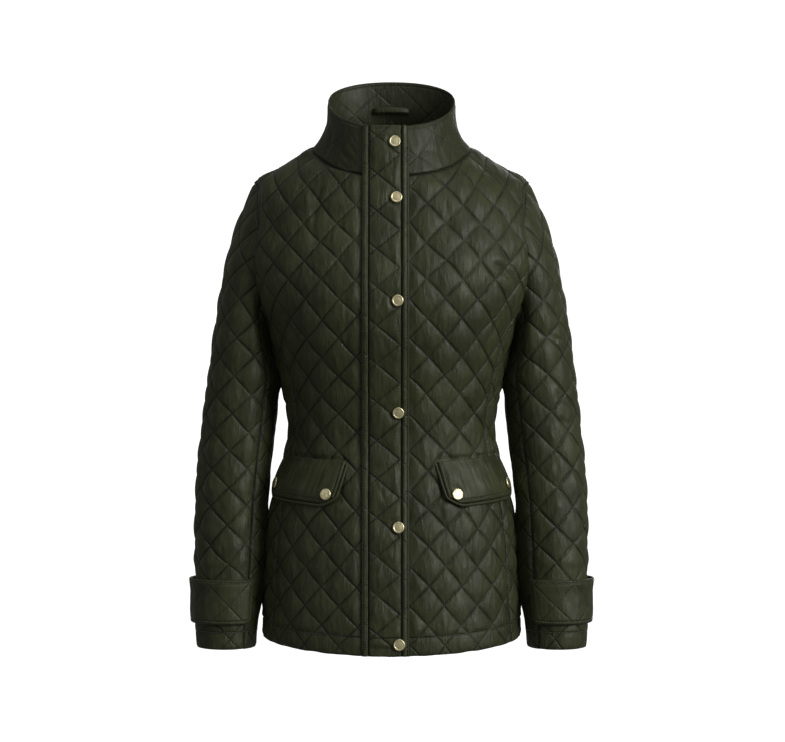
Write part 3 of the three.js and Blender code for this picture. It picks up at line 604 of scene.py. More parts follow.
@dataclass
class Patch:
    """Triangles in the cloth's own quilting coordinates."""

    across: Array
    up: Array
    triangles: Array

    @classmethod
    def grid(cls, across: tuple[int, int], up: tuple[int, int], steps: int) -> "Patch":
        """A grid whose diagonals lie along the quilting lines.

        Args:
            across: First and last whole column.
            up: First and last whole row.
            steps: Squares along each side of a cell.

        Returns:
            The patch. A cell whose column and row add up to an even number is
            crossed by a line that rises to the right, and any other one by a
            line that falls.
        """
        columns = (across[1] - across[0]) * steps
        rows = (up[1] - up[0]) * steps
        i, j = np.meshgrid(np.arange(columns + 1), np.arange(rows + 1))
        number = j * (columns + 1) + i
        a, b = number[:-1, :-1].ravel(), number[:-1, 1:].ravel()
        c, d = number[1:, 1:].ravel(), number[1:, :-1].ravel()
        cell_column = i[:-1, :-1].ravel() // steps + across[0]
        cell_row = j[:-1, :-1].ravel() // steps + up[0]
        rises = (cell_column + cell_row) % 2 == 0
        first = np.where(rises[:, None], np.stack([a, b, c], 1), np.stack([a, b, d], 1))
        second = np.where(rises[:, None], np.stack([a, c, d], 1), np.stack([b, c, d], 1))
        u = (across[0] + i / steps).ravel()
        v = (up[0] + j / steps).ravel()
        return cls(u, v, np.concatenate([first, second]))

    def clip(self, inside: Array) -> "Patch":
        """The part of the patch where a value is above nothing.

        Args:
            inside: The value at each point, in millimetres from a seam or edge.

        Returns:
            The kept triangles, with new points where edges cross the line.
        """
        inside = np.where(np.abs(inside) < 0.05, 0.05, inside)
        keep = inside[self.triangles] > 0
        count = keep.sum(axis=1)
        whole = self.triangles[count == 3]
        cut = (count == 1) | (count == 2)
        if not cut.any():
            return Patch(self.across, self.up, whole).packed()
        lone = count[cut] == 1
        odd = np.argmax(keep[cut] == lone[:, None], axis=1)
        order = (odd[:, None] + np.arange(3)) % 3
        a, b, c = np.take_along_axis(self.triangles[cut], order, axis=1).T
        ends = np.sort(np.concatenate([np.stack([a, b], 1), np.stack([a, c], 1)]), axis=1)
        pairs, numbers = np.unique(ends, axis=0, return_inverse=True)
        ab, ac = numbers.reshape(2, -1) + len(self.across)
        low, high = pairs.T
        share = inside[low] / (inside[low] - inside[high])
        across = np.concatenate([self.across, mix(self.across[low], self.across[high], share)])
        up = np.concatenate([self.up, mix(self.up[low], self.up[high], share)])
        tips = np.stack([a, ab, ac], 1)[lone]
        rest = [np.stack([ab, b, c], 1)[~lone], np.stack([ab, c, ac], 1)[~lone]]
        return Patch(across, up, np.concatenate([whole, tips, *rest])).packed()

    def packed(self) -> "Patch":
        """The patch without unused points."""
        used, numbers = np.unique(self.triangles, return_inverse=True)
        return Patch(self.across[used], self.up[used], numbers.reshape(-1, 3))


@dataclass
class Shell:
    """A closed cloth wall: outer and inner points over the same triangles."""

    outer: Array
    inner: Array
    triangles: Array
    quilt: Array
    flat: Array

    def closed(self) -> tuple[Array, Array, Array, Array]:
        """The wall with its edges closed.

        Returns:
            Points, triangles that face out, and the two attributes for each point.
        """
        count = len(self.outer)
        a, b, c = self.triangles.T
        edges = np.concatenate([np.stack([a, b], 1), np.stack([b, c], 1), np.stack([c, a], 1)])
        key = np.sort(edges, axis=1)
        _, index, uses = np.unique(key, axis=0, return_index=True, return_counts=True)
        start, end = edges[index[uses == 1]].T
        rim = np.concatenate([
            np.stack([end, start, start + count], 1),
            np.stack([end, start + count, end + count], 1),
        ])
        triangles = np.concatenate([self.triangles, self.triangles[:, ::-1] + count, rim])
        points = np.concatenate([self.outer, self.inner])
        return points, triangles, np.tile(self.quilt, (2, 1)), np.tile(self.flat, (2, 1))


def make_object(name: str, points: Array, triangles: Array, **attributes: Array) -> bpy.types.Object:
    """A smooth-shaded mesh object.

    Args:
        name: Piece name.
        points: Points in millimetres.
        triangles: Point numbers, three a row, facing out.
        attributes: Vector attributes by name, one row a point.

    Returns:
        The object, linked to the scene, in metres.
    """
    mesh = bpy.data.meshes.new(name)
    mesh.vertices.add(len(points))
    mesh.vertices.foreach_set("co", np.asarray(points * MM, dtype=np.float32).ravel())
    mesh.loops.add(triangles.size)
    mesh.loops.foreach_set("vertex_index", np.asarray(triangles, dtype=np.int32).ravel())
    mesh.polygons.add(len(triangles))
    mesh.polygons.foreach_set("loop_start", np.arange(0, triangles.size, 3, dtype=np.int32))
    mesh.update(calc_edges=True)
    mesh.validate()
    mesh.polygons.foreach_set("use_smooth", np.ones(len(mesh.polygons), dtype=bool))
    for title, values in attributes.items():
        layer = mesh.attributes.new(title, "FLOAT_VECTOR", "POINT")
        layer.data.foreach_set("vector", np.asarray(values, dtype=np.float32).ravel())
    mesh.update()
    made = bpy.data.objects.new(name, mesh)
    bpy.context.scene.collection.objects.link(made)
    return made


def area_of(points: Array, triangles: Array) -> float:
    """Area of a surface in square metres."""
    a, b, c = (points[triangles[:, index]] for index in range(3))
    return float(np.linalg.norm(np.cross(b - a, c - a), axis=1).sum() / 2 * MM * MM)


def crease_depth(x: Array, y: Array, creases: Sequence[Crease]) -> Array:
    """How deep the listed creases are at each place."""
    depth = np.zeros_like(x)
    for crease in creases:
        (x0, y0), (x1, y1) = crease.start, crease.end
        dx, dy = x1 - x0, y1 - y0
        length = math.hypot(dx, dy)
        along = ((x - x0) * dx + (y - y0) * dy) / length ** 2
        off = ((x - x0) * dy - (y - y0) * dx) / length
        off = off + 0.08 * length * np.sin(math.pi * np.clip(along, 0, 1))
        fade = smooth(along * 4) * smooth((1 - along) * 2.5)
        depth += crease.depth * np.exp(-((off / crease.width) ** 2)) * fade
    return depth


def quilt_height(p: Array, q: Array) -> Array:
    """Height of the padding between the quilting lines.

    Args:
        p: Count of lines that fall to the right.
        q: Count of lines that rise to the right.

    Returns:
        0 on the lines to 1 in the middle of a diamond, each a little different.
    """
    pillow = (np.abs(np.sin(math.pi * p)) * np.abs(np.sin(math.pi * q))) ** CLOTH.groove_power
    i, j = np.floor(p), np.floor(q)
    du, dv = (p - i) + (q - j) - 1, (p - i) - (q - j)
    size = 0.8 + 0.32 * chance(i, j, 1)
    tilt = 1 + 0.3 * (chance(i, j, 2) - 0.5) * du + 0.4 * (chance(i, j, 3) - 0.5) * dv
    pinch = 0.0
    for seed, sign in ((4, 1.0), (7, -1.0), (11, 0.8), (15, -0.7)):
        place = (chance(i, j, seed) - 0.5) * 1.3
        lean = (chance(i, j, seed + 1) - 0.5) * 0.7
        middle = (chance(i, j, seed + 3) - 0.5) * 0.9
        strength = 0.3 * sign * chance(i, j, seed + 2)
        narrow = groove(du - place - lean * dv, 0.1) * groove(dv - middle, 0.5)
        pinch = pinch + strength * narrow
    shallow = 0.34 * smooth(0.5 + 0.9 * noise(p * 0.9 + q * 0.4, q * 0.9 - p * 0.4, 19))
    return mix(pillow * size * tilt, size, shallow * pillow ** 0.3) + pillow * pinch


def warped(u: Array, v: Array, seed: float) -> tuple[Array, Array]:
    """How far the quilting lines stray from a straight grid."""
    across = noise(u / 1.9 + seed, v / 2.3, 23) + 0.4 * noise(u / 0.9, v / 1.1 + seed, 24)
    up = noise(u / 2.2 + seed, v / 1.8, 25) + 0.4 * noise(u / 1.1, v / 0.9 + seed, 26)
    return CLOTH.warp * across, CLOTH.warp * up


class QuiltedPanel(ABC):
    """One cut piece of the quilted cloth."""

    tucked: tuple[int, ...] = ()

    def __init__(self, name: str, side: Side, seed: int) -> None:
        """Names the panel."""
        self.name = name
        self.side = side
        self.seed = seed

    @abstractmethod
    def patch(self) -> Patch:
        """Returns the grid that covers the panel."""

    @abstractmethod
    def locate(self, u: Array, v: Array) -> dict[str, Array]:
        """Returns the form coordinates of quilting coordinates u and v."""

    @abstractmethod
    def edges(self, at: dict[str, Array]) -> list[Array]:
        """Returns the distances in from the panel's edges, in millimetres."""

    @abstractmethod
    def surface(self, at: dict[str, Array], lift: Array) -> Array:
        """Returns points at a distance out from the inner face."""

    @abstractmethod
    def shape(self, at: dict[str, Array], height: Array) -> Array:
        """Returns the quilting's height, changed by this panel's folds and hems."""

    def lift(self, at: dict[str, Array], distances: list[Array]) -> Array:
        """The outer face's distance out from the inner face.

        Args:
            at: Form coordinates.
            distances: Distances in from the edges.

        Returns:
            The cloth, thinner at its sewn edges, and the quilting's height on it.
        """
        near = np.min(np.stack(distances), axis=0)
        sewn = np.delete(np.stack(distances), self.tucked, axis=0)
        edge = smooth(np.min(sewn, axis=0) / CLOTH.seam_round)
        fade = smooth((near - 0.5) / CLOTH.seam_fade)
        p, q = (at["u"] + at["v"]) / 2, (at["u"] - at["v"]) / 2
        padding = CLOTH.puff * quilt_height(p, q) * mix(0.18, 1.0, fade) * edge
        wave = 0.55 * noise(at["x"] / 41, at["z"] / 67, self.seed) * fade
        gather = noise(at["z"] / 4.6 + at["x"] / 19, near / 14, self.seed + 0.5)
        wave = wave + 0.85 * gather * np.exp(-near / 7) * edge
        return CLOTH.thickness * mix(0.3, 1.0, edge) + self.shape(at, padding) + wave

    @property
    def turned(self) -> bool:
        """Whether the panel's grid runs clockwise, seen from above."""
        return self.side is Side.RIGHT

    def build(self) -> tuple[Shell, float]:
        """The panel's wall.

        Returns:
            The shell, and its cloth's area in square metres.
        """
        patch = self.patch()
        for index in range(len(self.edges(self.locate(patch.across, patch.up)))):
            at = self.locate(patch.across, patch.up)
            patch = patch.clip(self.edges(at)[index])
        at = self.locate(patch.across, patch.up)
        distances = [np.maximum(distance, 0.0) for distance in self.edges(at)]
        outer = self.surface(at, self.lift(at, distances))
        inner = self.surface(at, np.zeros_like(patch.across))
        near = np.minimum(np.min(np.stack(distances), axis=0), 30.0)
        p, q = (patch.across + patch.up) / 2, (patch.across - patch.up) / 2
        quilt = np.stack([p, q, near], axis=-1)
        flat = np.stack([at["x"] + 700 * self.seed, at["z"], at["hem"]], axis=-1)
        triangles = patch.triangles[:, ::-1] if self.turned else patch.triangles
        shell = Shell(outer, inner, triangles, quilt, flat)
        return shell, area_of(self.surface(at, np.ones_like(patch.across)), triangles)


def hem_line(column: Array) -> Array:
    """Height of the hem, lower at the front and back."""
    toward = np.abs(np.cos(column / 44 * 2 * math.pi))
    return GARMENT.hem_side_z - GARMENT.hem_drop * toward ** 1.2


def under_arm(z: Array) -> Array:
    """Where the sleeve and the side press on each other, at the chest and the hip."""
    chest = 1.6 * smooth((z + 326) / 22) * smooth((-228 - z) / 18)
    return chest + 0.9 * smooth((z + 622) / 40) * smooth((-452 - z) / 40)


class BodyPanel(QuiltedPanel):
    """A panel of the body, measured from a line that runs down it."""

    def __init__(self, name: str, side: Side, seed: int, body: BodyForm, middle: float,
                 reach: tuple[int, int], top: int, creases: Sequence[Crease] = ()) -> None:
        """Places the panel on the body."""
        super().__init__(name, side, seed)
        self.body = body
        self.middle = middle
        self.reach = reach
        self.top = top
        self.creases = creases

    def patch(self) -> Patch:
        """Returns the grid that covers the panel."""
        return Patch.grid(self.reach, (0, self.top), CLOTH.steps)

    def locate(self, u: Array, v: Array) -> dict[str, Array]:
        """Finds form coordinates.

        Args:
            u: Quilting columns from the panel's middle line.
            v: Quilting rows from the hem.

        Returns:
            Column, height, flat place and height over the hem.
        """
        across, up = warped(u, v, self.seed)
        across = across * smooth(np.abs(u) / 0.8) if self.middle == GARMENT.quarter else across
        z = CLOTH.phase_z + CLOTH.half_height * v + up
        distance = u * CLOTH.half_width + across
        ahead = self.body.front_arcs.length(z) / GARMENT.quarter
        behind = self.body.back_arcs.length(z) / GARMENT.quarter
        beside = self.middle == GARMENT.quarter
        toward_back = (self.middle > GARMENT.quarter) | (beside & (distance > 0))
        width = np.where(toward_back, behind, ahead)
        column = np.clip(self.middle + distance / width, -0.5, 44.5)
        return {"u": u, "v": v, "x": distance, "z": z, "column": column, "hem": z - hem_line(column)}

    def surface(self, at: dict[str, Array], lift: Array) -> Array:
        """Finds points."""
        column = at["column"] * self.side.value
        point = self.body.point(column, at["z"])
        return point + self.body.normal(column, at["z"]) * lift[..., None]

    def cover(self, at: dict[str, Array]) -> tuple[Array, Array]:
        """What the placket and the pocket flap do to the cloth under them.

        Args:
            at: Form coordinates.

        Returns:
            A share that is left of the quilting's height, and the depth of the
            stitched slot along the flap's top.
        """
        top, bottom = PocketFlap.top, PocketFlap.bottom
        across = (at["column"] - top[0][0] - 0.1) / (top[1][0] - top[0][0] + 0.3)
        high, low = (mix(ends[0][1], ends[1][1], across) for ends in (top, bottom))
        width = PocketFlap.width
        in_width = smooth((across * width + 3) / 4) * smooth(((1 - across) * width + 3) / 4)
        in_width = in_width if self.middle <= GARMENT.quarter else 0 * in_width
        in_height = smooth((high + 3 - at["z"]) / 4) * smooth((at["z"] - low) / 6)
        left = 1 - 0.6 * in_width * in_height
        if self.middle == 0:
            limit = Placket.right if self.side is Side.LEFT else -Placket.left
            left = left * smooth((at["x"] - limit + 1.5) / 13)
        return left, 2.6 * in_width * groove(at["z"] - high - 3.0, 1.5)

    def shape(self, at: dict[str, Array], height: Array) -> Array:
        """Presses the hem's fold and the creases into the quilting."""
        hem = at["hem"]
        in_band = 1 - smooth((hem - GARMENT.hem_fold + 3) / 6)
        left, slot = self.cover(at)
        height = height * mix(1.0, 0.4, in_band) * left - slot
        line = groove(hem - GARMENT.hem_fold, 1.7)
        gathers = groove(hem - GARMENT.hem_fold, 9)
        height = height * (1 - 0.8 * line) + 0.7 * gathers * noise(at["x"] / 6, hem / 40, 21)
        swell = 2.6 * under_arm(at["z"]) * groove(at["column"] - GARMENT.quarter, 1.7)
        return height + in_band * 0.8 + swell - crease_depth(at["x"], at["z"], self.creases)

    def seam_distance(self, at: dict[str, Array], seam: Table, sign: float) -> Array:
        """Distance from a princess seam."""
        gap = (seam.at("column", at["z"]) - at["column"]) * sign
        return gap * self.body.column_width(at["column"], at["z"]) - CLOTH.seam_gap / 2

    def armhole_distance(self, at: dict[str, Array]) -> Array:
        """Distance out from the armhole's oval."""
        point = self.body.point(at["column"], at["z"])
        depth, height = 62 + GARMENT.armhole_lap, 94.5 + GARMENT.armhole_lap
        y, z = (point[..., 1] - 8) / depth, (point[..., 2] + 146.5) / height
        level = np.maximum(np.hypot(y, z), 1e-6)
        return (level - 1) * level / np.maximum(np.hypot(y / depth, z / height), 1e-9)

    def neck_distance(self, at: dict[str, Array]) -> Array:
        """Distance down from the neckline."""
        y = self.body.point(at["column"], at["z"])[..., 1]
        return (neck_plane(y) - at["z"]) / math.hypot(1, GARMENT.neck_slope) + 0.1

    def hem_distance(self, at: dict[str, Array]) -> Array:
        """Distance up from the hem's edge, which isn't a seam."""
        uneven = 0.5 * noise(at["x"] / 14, at["x"] * 0, 31)
        return (at["hem"] + uneven) * 2.2


class FrontPanel(BodyPanel):
    """A front, from the centre to the princess seam and the shoulder."""

    def edges(self, at: dict[str, Array]) -> list[Array]:
        """Returns distances from the centre, seam, shoulder, armhole, neck and hem."""
        width = self.body.column_width(at["column"], at["z"])
        centre = at["column"] * width - CLOTH.seam_gap / 2
        shoulder = (GARMENT.quarter - at["column"]) * width + CLOTH.shoulder_lap
        seam = self.seam_distance(at, FRONT_SEAM, 1.0)
        return [
            self.hem_distance(at), centre, shoulder, seam,
            self.armhole_distance(at), self.neck_distance(at),
        ]


class SidePanel(BodyPanel):
    """A side panel, between the two princess seams."""

    def edges(self, at: dict[str, Array]) -> list[Array]:
        """Returns distances from the hem, the two seams and the armhole."""
        front = self.seam_distance(at, FRONT_SEAM, -1.0)
        back = self.seam_distance(at, BACK_SEAM, 1.0)
        return [self.hem_distance(at), front, back, self.armhole_distance(at)]


class BackHalf(BodyPanel):
    """The back, all across; columns past 22 are on the wearer's right."""

    def edges(self, at: dict[str, Array]) -> list[Array]:
        """Returns distances from the hem, seams, shoulders, armholes and neck."""
        folded = {**at, "column": 22 - np.abs(22 - at["column"])}
        width = self.body.column_width(np.full_like(at["z"], 20.0), at["z"])
        shoulder = (folded["column"] - GARMENT.quarter) * width + CLOTH.shoulder_lap
        seam = (folded["column"] - BACK_SEAM.at("column", at["z"])) * width - CLOTH.seam_gap / 2
        return [
            self.hem_distance(at), shoulder, seam,
            self.armhole_distance(folded), self.neck_distance(folded),
        ]


class SleevePanel(QuiltedPanel):
    """A panel of the sleeve, measured from a line that runs down it.

    Its head, the second edge, is tucked in under the body's cloth.
    """

    tucked = (1,)

    def __init__(self, name: str, side: Side, seed: int, sleeve: SleeveForm, middle: float,
                 columns: tuple[float, float], creases: Sequence[Crease] = ()) -> None:
        """Places the panel on the sleeve."""
        super().__init__(name, side, seed)
        self.sleeve = sleeve
        self.middle = middle
        self.columns = columns
        self.creases = creases

    @property
    def turned(self) -> bool:
        """Whether the panel's grid runs clockwise, seen from above."""
        return self.side is Side.LEFT

    def patch(self) -> Patch:
        """Returns the grid that covers the panel."""
        lengths = self.sleeve.slice_lengths
        columns = self.sleeve.slice_columns
        middle, low, high = (
            lengths[:, int(np.argmin(np.abs(columns - place)))]
            for place in (self.middle, *self.columns)
        )
        first = math.floor((low - middle).min() / CLOTH.half_width) - 1
        last = math.ceil((high - middle).max() / CLOTH.half_width) + 1
        return Patch.grid((first, last), (0, 26), CLOTH.steps)

    def locate(self, u: Array, v: Array) -> dict[str, Array]:
        """Finds form coordinates."""
        across, up = warped(u, v, self.seed)
        z = CLOTH.phase_z + CLOTH.half_height * v + up
        distance = u * CLOTH.half_width + across
        column = self.sleeve.column_at(distance, z, self.middle)
        share = self.sleeve.share_at(column, z)
        return {"u": u, "v": v, "x": distance, "z": z, "column": column, "share": share,
                "hem": z + 646.0}

    def surface(self, at: dict[str, Array], lift: Array) -> Array:
        """Finds points."""
        point = self.sleeve.point(at["share"], at["column"], lift)
        point[..., 0] *= self.side.value
        return point

    def edges(self, at: dict[str, Array]) -> list[Array]:
        """Returns distances from the cuff's edge, the armhole and the two seams."""
        width = self.sleeve.arcs.length(at["share"]) * 4 / GARMENT.sleeve_columns
        first, last = self.columns
        start = self.sleeve.oval(np.zeros_like(at["z"]), at["column"], 0.0)
        ahead = self.sleeve.oval(np.full_like(at["z"], 0.02), at["column"], 0.0)
        rate = np.linalg.norm(ahead - start, axis=-1) / 0.02
        above = start[..., 2] - at["z"]
        head = np.where(above < 0, above, at["share"] * rate)
        uneven = 0.4 * noise(at["x"] / 12, at["x"] * 0, 33)
        return [
            (at["hem"] + uneven) * 2.2,
            head,
            (at["column"] - first) * width - CLOTH.seam_gap / 2,
            (last - at["column"]) * width - CLOTH.seam_gap / 2,
        ]

    def shape(self, at: dict[str, Array], height: Array) -> Array:
        """Presses the cuff's fold and the creases into the quilting.

        Args:
            at: Form coordinates.
            height: The quilting's height.

        Returns:
            The height with a stitched line over a flatter cuff, and long soft folds.
        """
        in_band = 1 - smooth((at["hem"] - GARMENT.cuff_fold + 3) / 6)
        under_tab = 1 - smooth((at["hem"] - 100) / 12)
        line = np.exp(-(((at["hem"] - GARMENT.cuff_fold) / 1.6) ** 2))
        inner = smooth((np.abs(np.mod(at["column"] - 7 + 7, 14) - 7) - 1.2) / 2)
        height = height * mix(1.0, 0.35, in_band) * mix(1.0, 0.6, under_tab) * (1 - 0.8 * line)
        folds = 0.8 * noise(at["x"] / 15, at["z"] / 120, 40 + self.seed)
        height = height * mix(0.35, 1.0, inner) + folds * smooth(at["hem"] / 60 - 0.6)
        turned = np.mod(at["column"], 14) - 7
        swell = 3.0 * under_arm(at["z"]) * groove(turned, 2.0)
        return height + swell - crease_depth(at["x"], at["z"], self.creases)


def creases(*rows: tuple[float, ...]) -> tuple[Crease, ...]:
    """Returns creases from rows of start x, start z, end x, end z, depth and half width."""
    return tuple(Crease((x0, z0), (x1, z1), depth, width) for x0, z0, x1, z1, depth, width in rows)


FRONT_CREASES = {
    Side.LEFT: creases(
        (121, -158, 170, -194, 2.6, 4), (128, -150, 172, -180, -1.4, 4),
        (148, -214, 118, -262, 1.3, 3.5), (97, -326, 103, -350, 1.7, 2.2),
        (110, -316, 112, -340, 1.9, 2), (88, -343, 94, -372, 1.2, 2.4),
        (58, -66, 70, -150, 1, 5), (44, -420, 58, -566, 1.2, 7),
        (86, -476, 96, -560, 1, 6), (30, -250, 62, -330, 0.9, 6),
    ),
    Side.RIGHT: creases(
        (84, -49, 92, -156, 1.9, 4.2), (128, -120, 160, -160, 1.5, 4),
        (150, -206, 112, -262, 1.4, 4), (72, -300, 106, -348, 1.2, 5),
        (60, -460, 78, -590, 1.2, 7), (34, -360, 42, -470, 0.9, 6),
        (104, -330, 100, -356, 1.4, 2.4), (94, -344, 92, -366, 1.2, 2.2),
    ),
}
SIDE_CREASES = {
    Side.LEFT: creases(
        (-32, -262, 20, -300, 1.4, 5), (-36, -330, 8, -318, 1.5, 4),
        (30, -344, 2, -356, 1.1, 4), (12, -430, 22, -560, 1.3, 7),
    ),
    Side.RIGHT: creases(
        (-28, -274, 28, -296, 1.3, 5), (-30, -346, 14, -328, 1.6, 4),
        (-8, -440, -20, -570, 1.2, 7), (34, -330, 10, -350, 1, 4),
    ),
}
BACK_CREASES = creases(
    (-150, -150, -108, -236, 1.8, 6), (142, -134, 112, -226, 1.6, 6),
    (-118, -318, -52, -334, 1.6, 5), (120, -326, 64, -318, 1.4, 5),
    (-96, -346, -30, -354, 1.2, 5), (88, -352, 24, -344, 1.2, 5),
    (-70, -440, -88, -590, 1.3, 8), (52, -450, 66, -600, 1.3, 8),
    (-40, -60, 40, -58, 1, 7), (6, -120, -8, -250, 0.9, 8),
)
SLEEVE_CREASES = {
    Side.LEFT: creases(
        (66, -212, 34, -232, 2, 4), (68, -244, 40, -258, 1.6, 3.5),
        (64, -318, 30, -338, 2, 4.5), (62, -352, 36, -362, 1.5, 4),
        (-20, -240, -30, -400, 1.5, 6), (18, -420, 8, -548, 1.4, 5),
        (-46, -330, -18, -350, 1.5, 4.5), (46, -470, 40, -560, 1.2, 5),
    ),
    Side.RIGHT: creases(
        (64, -228, 36, -240, 1.9, 4), (66, -262, 38, -282, 1.6, 3.5),
        (62, -336, 28, -350, 1.9, 4.5), (60, -378, 34, -384, 1.4, 4),
        (-26, -260, -16, -390, 1.4, 6), (22, -400, 16, -530, 1.5, 5),
        (-44, -352, -14, -366, 1.6, 4.5), (44, -500, 48, -566, 1.1, 5),
    ),
}


class PlacketForm:
    """The face of the two fronts and the collar that the placket lies on."""

    SEAT = 0.9
    BOTTOM = -646.5
    TOP = 14.0

    def __init__(self, body: BodyForm, collar: CollarForm) -> None:
        """Lists the neckline and the rim by distance across."""
        distance = np.linspace(0.0, 0.9, 400)
        self.body = body
        self.low = collar.point(distance, np.zeros_like(distance))
        self.high = collar.point(distance, np.ones_like(distance))

    def point(self, x: Array, z: Array, lift: Array) -> Array:
        """A point over the fronts, then over the collar."""
        across = np.abs(x)
        low_y, low_z = (np.interp(across, self.low[:, 0], self.low[:, axis]) for axis in (1, 2))
        high_y, high_z = (np.interp(across, self.high[:, 0], self.high[:, axis]) for axis in (1, 2))
        over = mix(low_y, high_y, (z - low_z) / (high_z - low_z))
        face = np.where(z <= low_z, self.body.depth_at(x, z), over) - CLOTH.thickness
        return np.stack([x, face - self.SEAT - lift, z], axis=-1)


def grid_shell(outer: Array, inner: Array, quilt: Array, flat: Array, turned: bool = False) -> Shell:
    """A cloth wall over a plain grid."""
    rows, columns = outer.shape[:2]
    triangles = Patch.grid((0, columns - 1), (0, rows - 1), 1).triangles
    triangles = triangles[:, ::-1] if turned else triangles
    flats = [values.reshape(-1, 3) for values in (outer, inner)]
    return Shell(*flats, triangles, quilt.reshape(-1, 3), flat.reshape(-1, 3))


@dataclass(frozen=True)
class SnapPlace:
    """Where a snap sits, and the way it faces, in millimetres."""

    name: str
    centre: tuple[float, float, float]
    normal: tuple[float, float, float]


@dataclass
class Collar:
    """The stand collar, nearly plain, with faint diamonds."""

    form: CollarForm
    creases: tuple[Crease, ...] = (
        Crease((-20, 6), (-80, 33), 2.4, 4.0),
        Crease((-26, 1), (-72, 15), 2.0, 3.0),
        Crease((-24, 21), (-62, 37), 1.7, 3.2),
        Crease((-44, 1), (-66, 8), 1.3, 2.2),
        Crease((-88, 1), (-98, 44), 1.6, 5.0),
        Crease((58, 16), (92, 38), 1.2, 4.0),
        Crease((30, 34), (70, 12), 1.0, 4.5),
        Crease((130, 2), (150, 48), 1.2, 6.0),
        Crease((-150, 4), (-128, 52), 1.3, 6.0),
        Crease((190, 6), (232, 60), 1.0, 5.0),
    )

    def build(self) -> tuple[Shell, tuple[float, float], float]:
        """The collar's wall.

        Returns:
            The shell, its flat size in metres and its area in square metres. The
            outer face rises from the plain form by the cloth, faint diamonds and
            creases; the inner face sinks a little between faint quilting lines.
        """
        sizes = self.form.sizes
        around = np.linspace(0.002, 3.998, sizes.columns + 1)
        turn, rise = np.meshgrid(np.where(around <= 2, around, around - 4), np.linspace(0, 1, sizes.rows + 1))
        plain, normal = self.form.point(turn, rise), self.form.normal(turn, rise)
        middle = self.form.point(turn[0], np.full_like(turn[0], 0.5))
        length = np.concatenate([[0], np.cumsum(np.linalg.norm(np.diff(middle, axis=0), axis=1))])
        s = np.where(around <= 2, length, length - length[-1])[None, :] + 0 * rise
        tall = np.linalg.norm(plain[-1] - plain[0], axis=-1)[None, :]
        h = rise * tall
        u, v = s / sizes.half_width, (tall - h - 14) / sizes.half_height
        p, q = (u + v) / 2, (u - v) / 2
        pillow = (np.abs(np.sin(math.pi * p)) * np.abs(np.sin(math.pi * q))) ** 0.5
        rim, seam = tall - h, h
        edge = smooth(np.minimum(rim, seam * 1.2) / 3.0)
        under = smooth((np.abs(s + 7) - 34) / 8)
        stitch = groove(rim - 5, 1.3)
        crease = crease_depth(s, h, self.creases)
        crinkle = 0.35 * noise(s / 7, h / 9, 51) + 0.5 * noise(s / 23, h / 15, 52)
        relief = sizes.puff * pillow + crinkle - 0.9 * stitch - crease * 0.9
        lift = CLOTH.thickness * mix(0.35, 1.0, edge) + relief * edge * mix(0.15, 1.0, under)
        sink = 0.5 * pillow * edge + 0.3 * crinkle * edge - 0.5 * stitch - 0.45 * crease * edge
        sink = np.clip(sink, -0.9, 1.4) * smooth(seam / 8)
        near = np.minimum(np.minimum(rim, seam), 30)
        quilt = np.stack([p, q, near], axis=-1)
        flat = np.stack([s + 3000, h, rim], axis=-1)
        outer = plain + normal * lift[..., None]
        shell = grid_shell(outer, plain - normal * sink[..., None], quilt, flat)
        area = area_of(plain.reshape(-1, 3), shell.triangles)
        size = (float(length[-1]) * MM, float(tall.max()) * MM)
        return shell, size, area


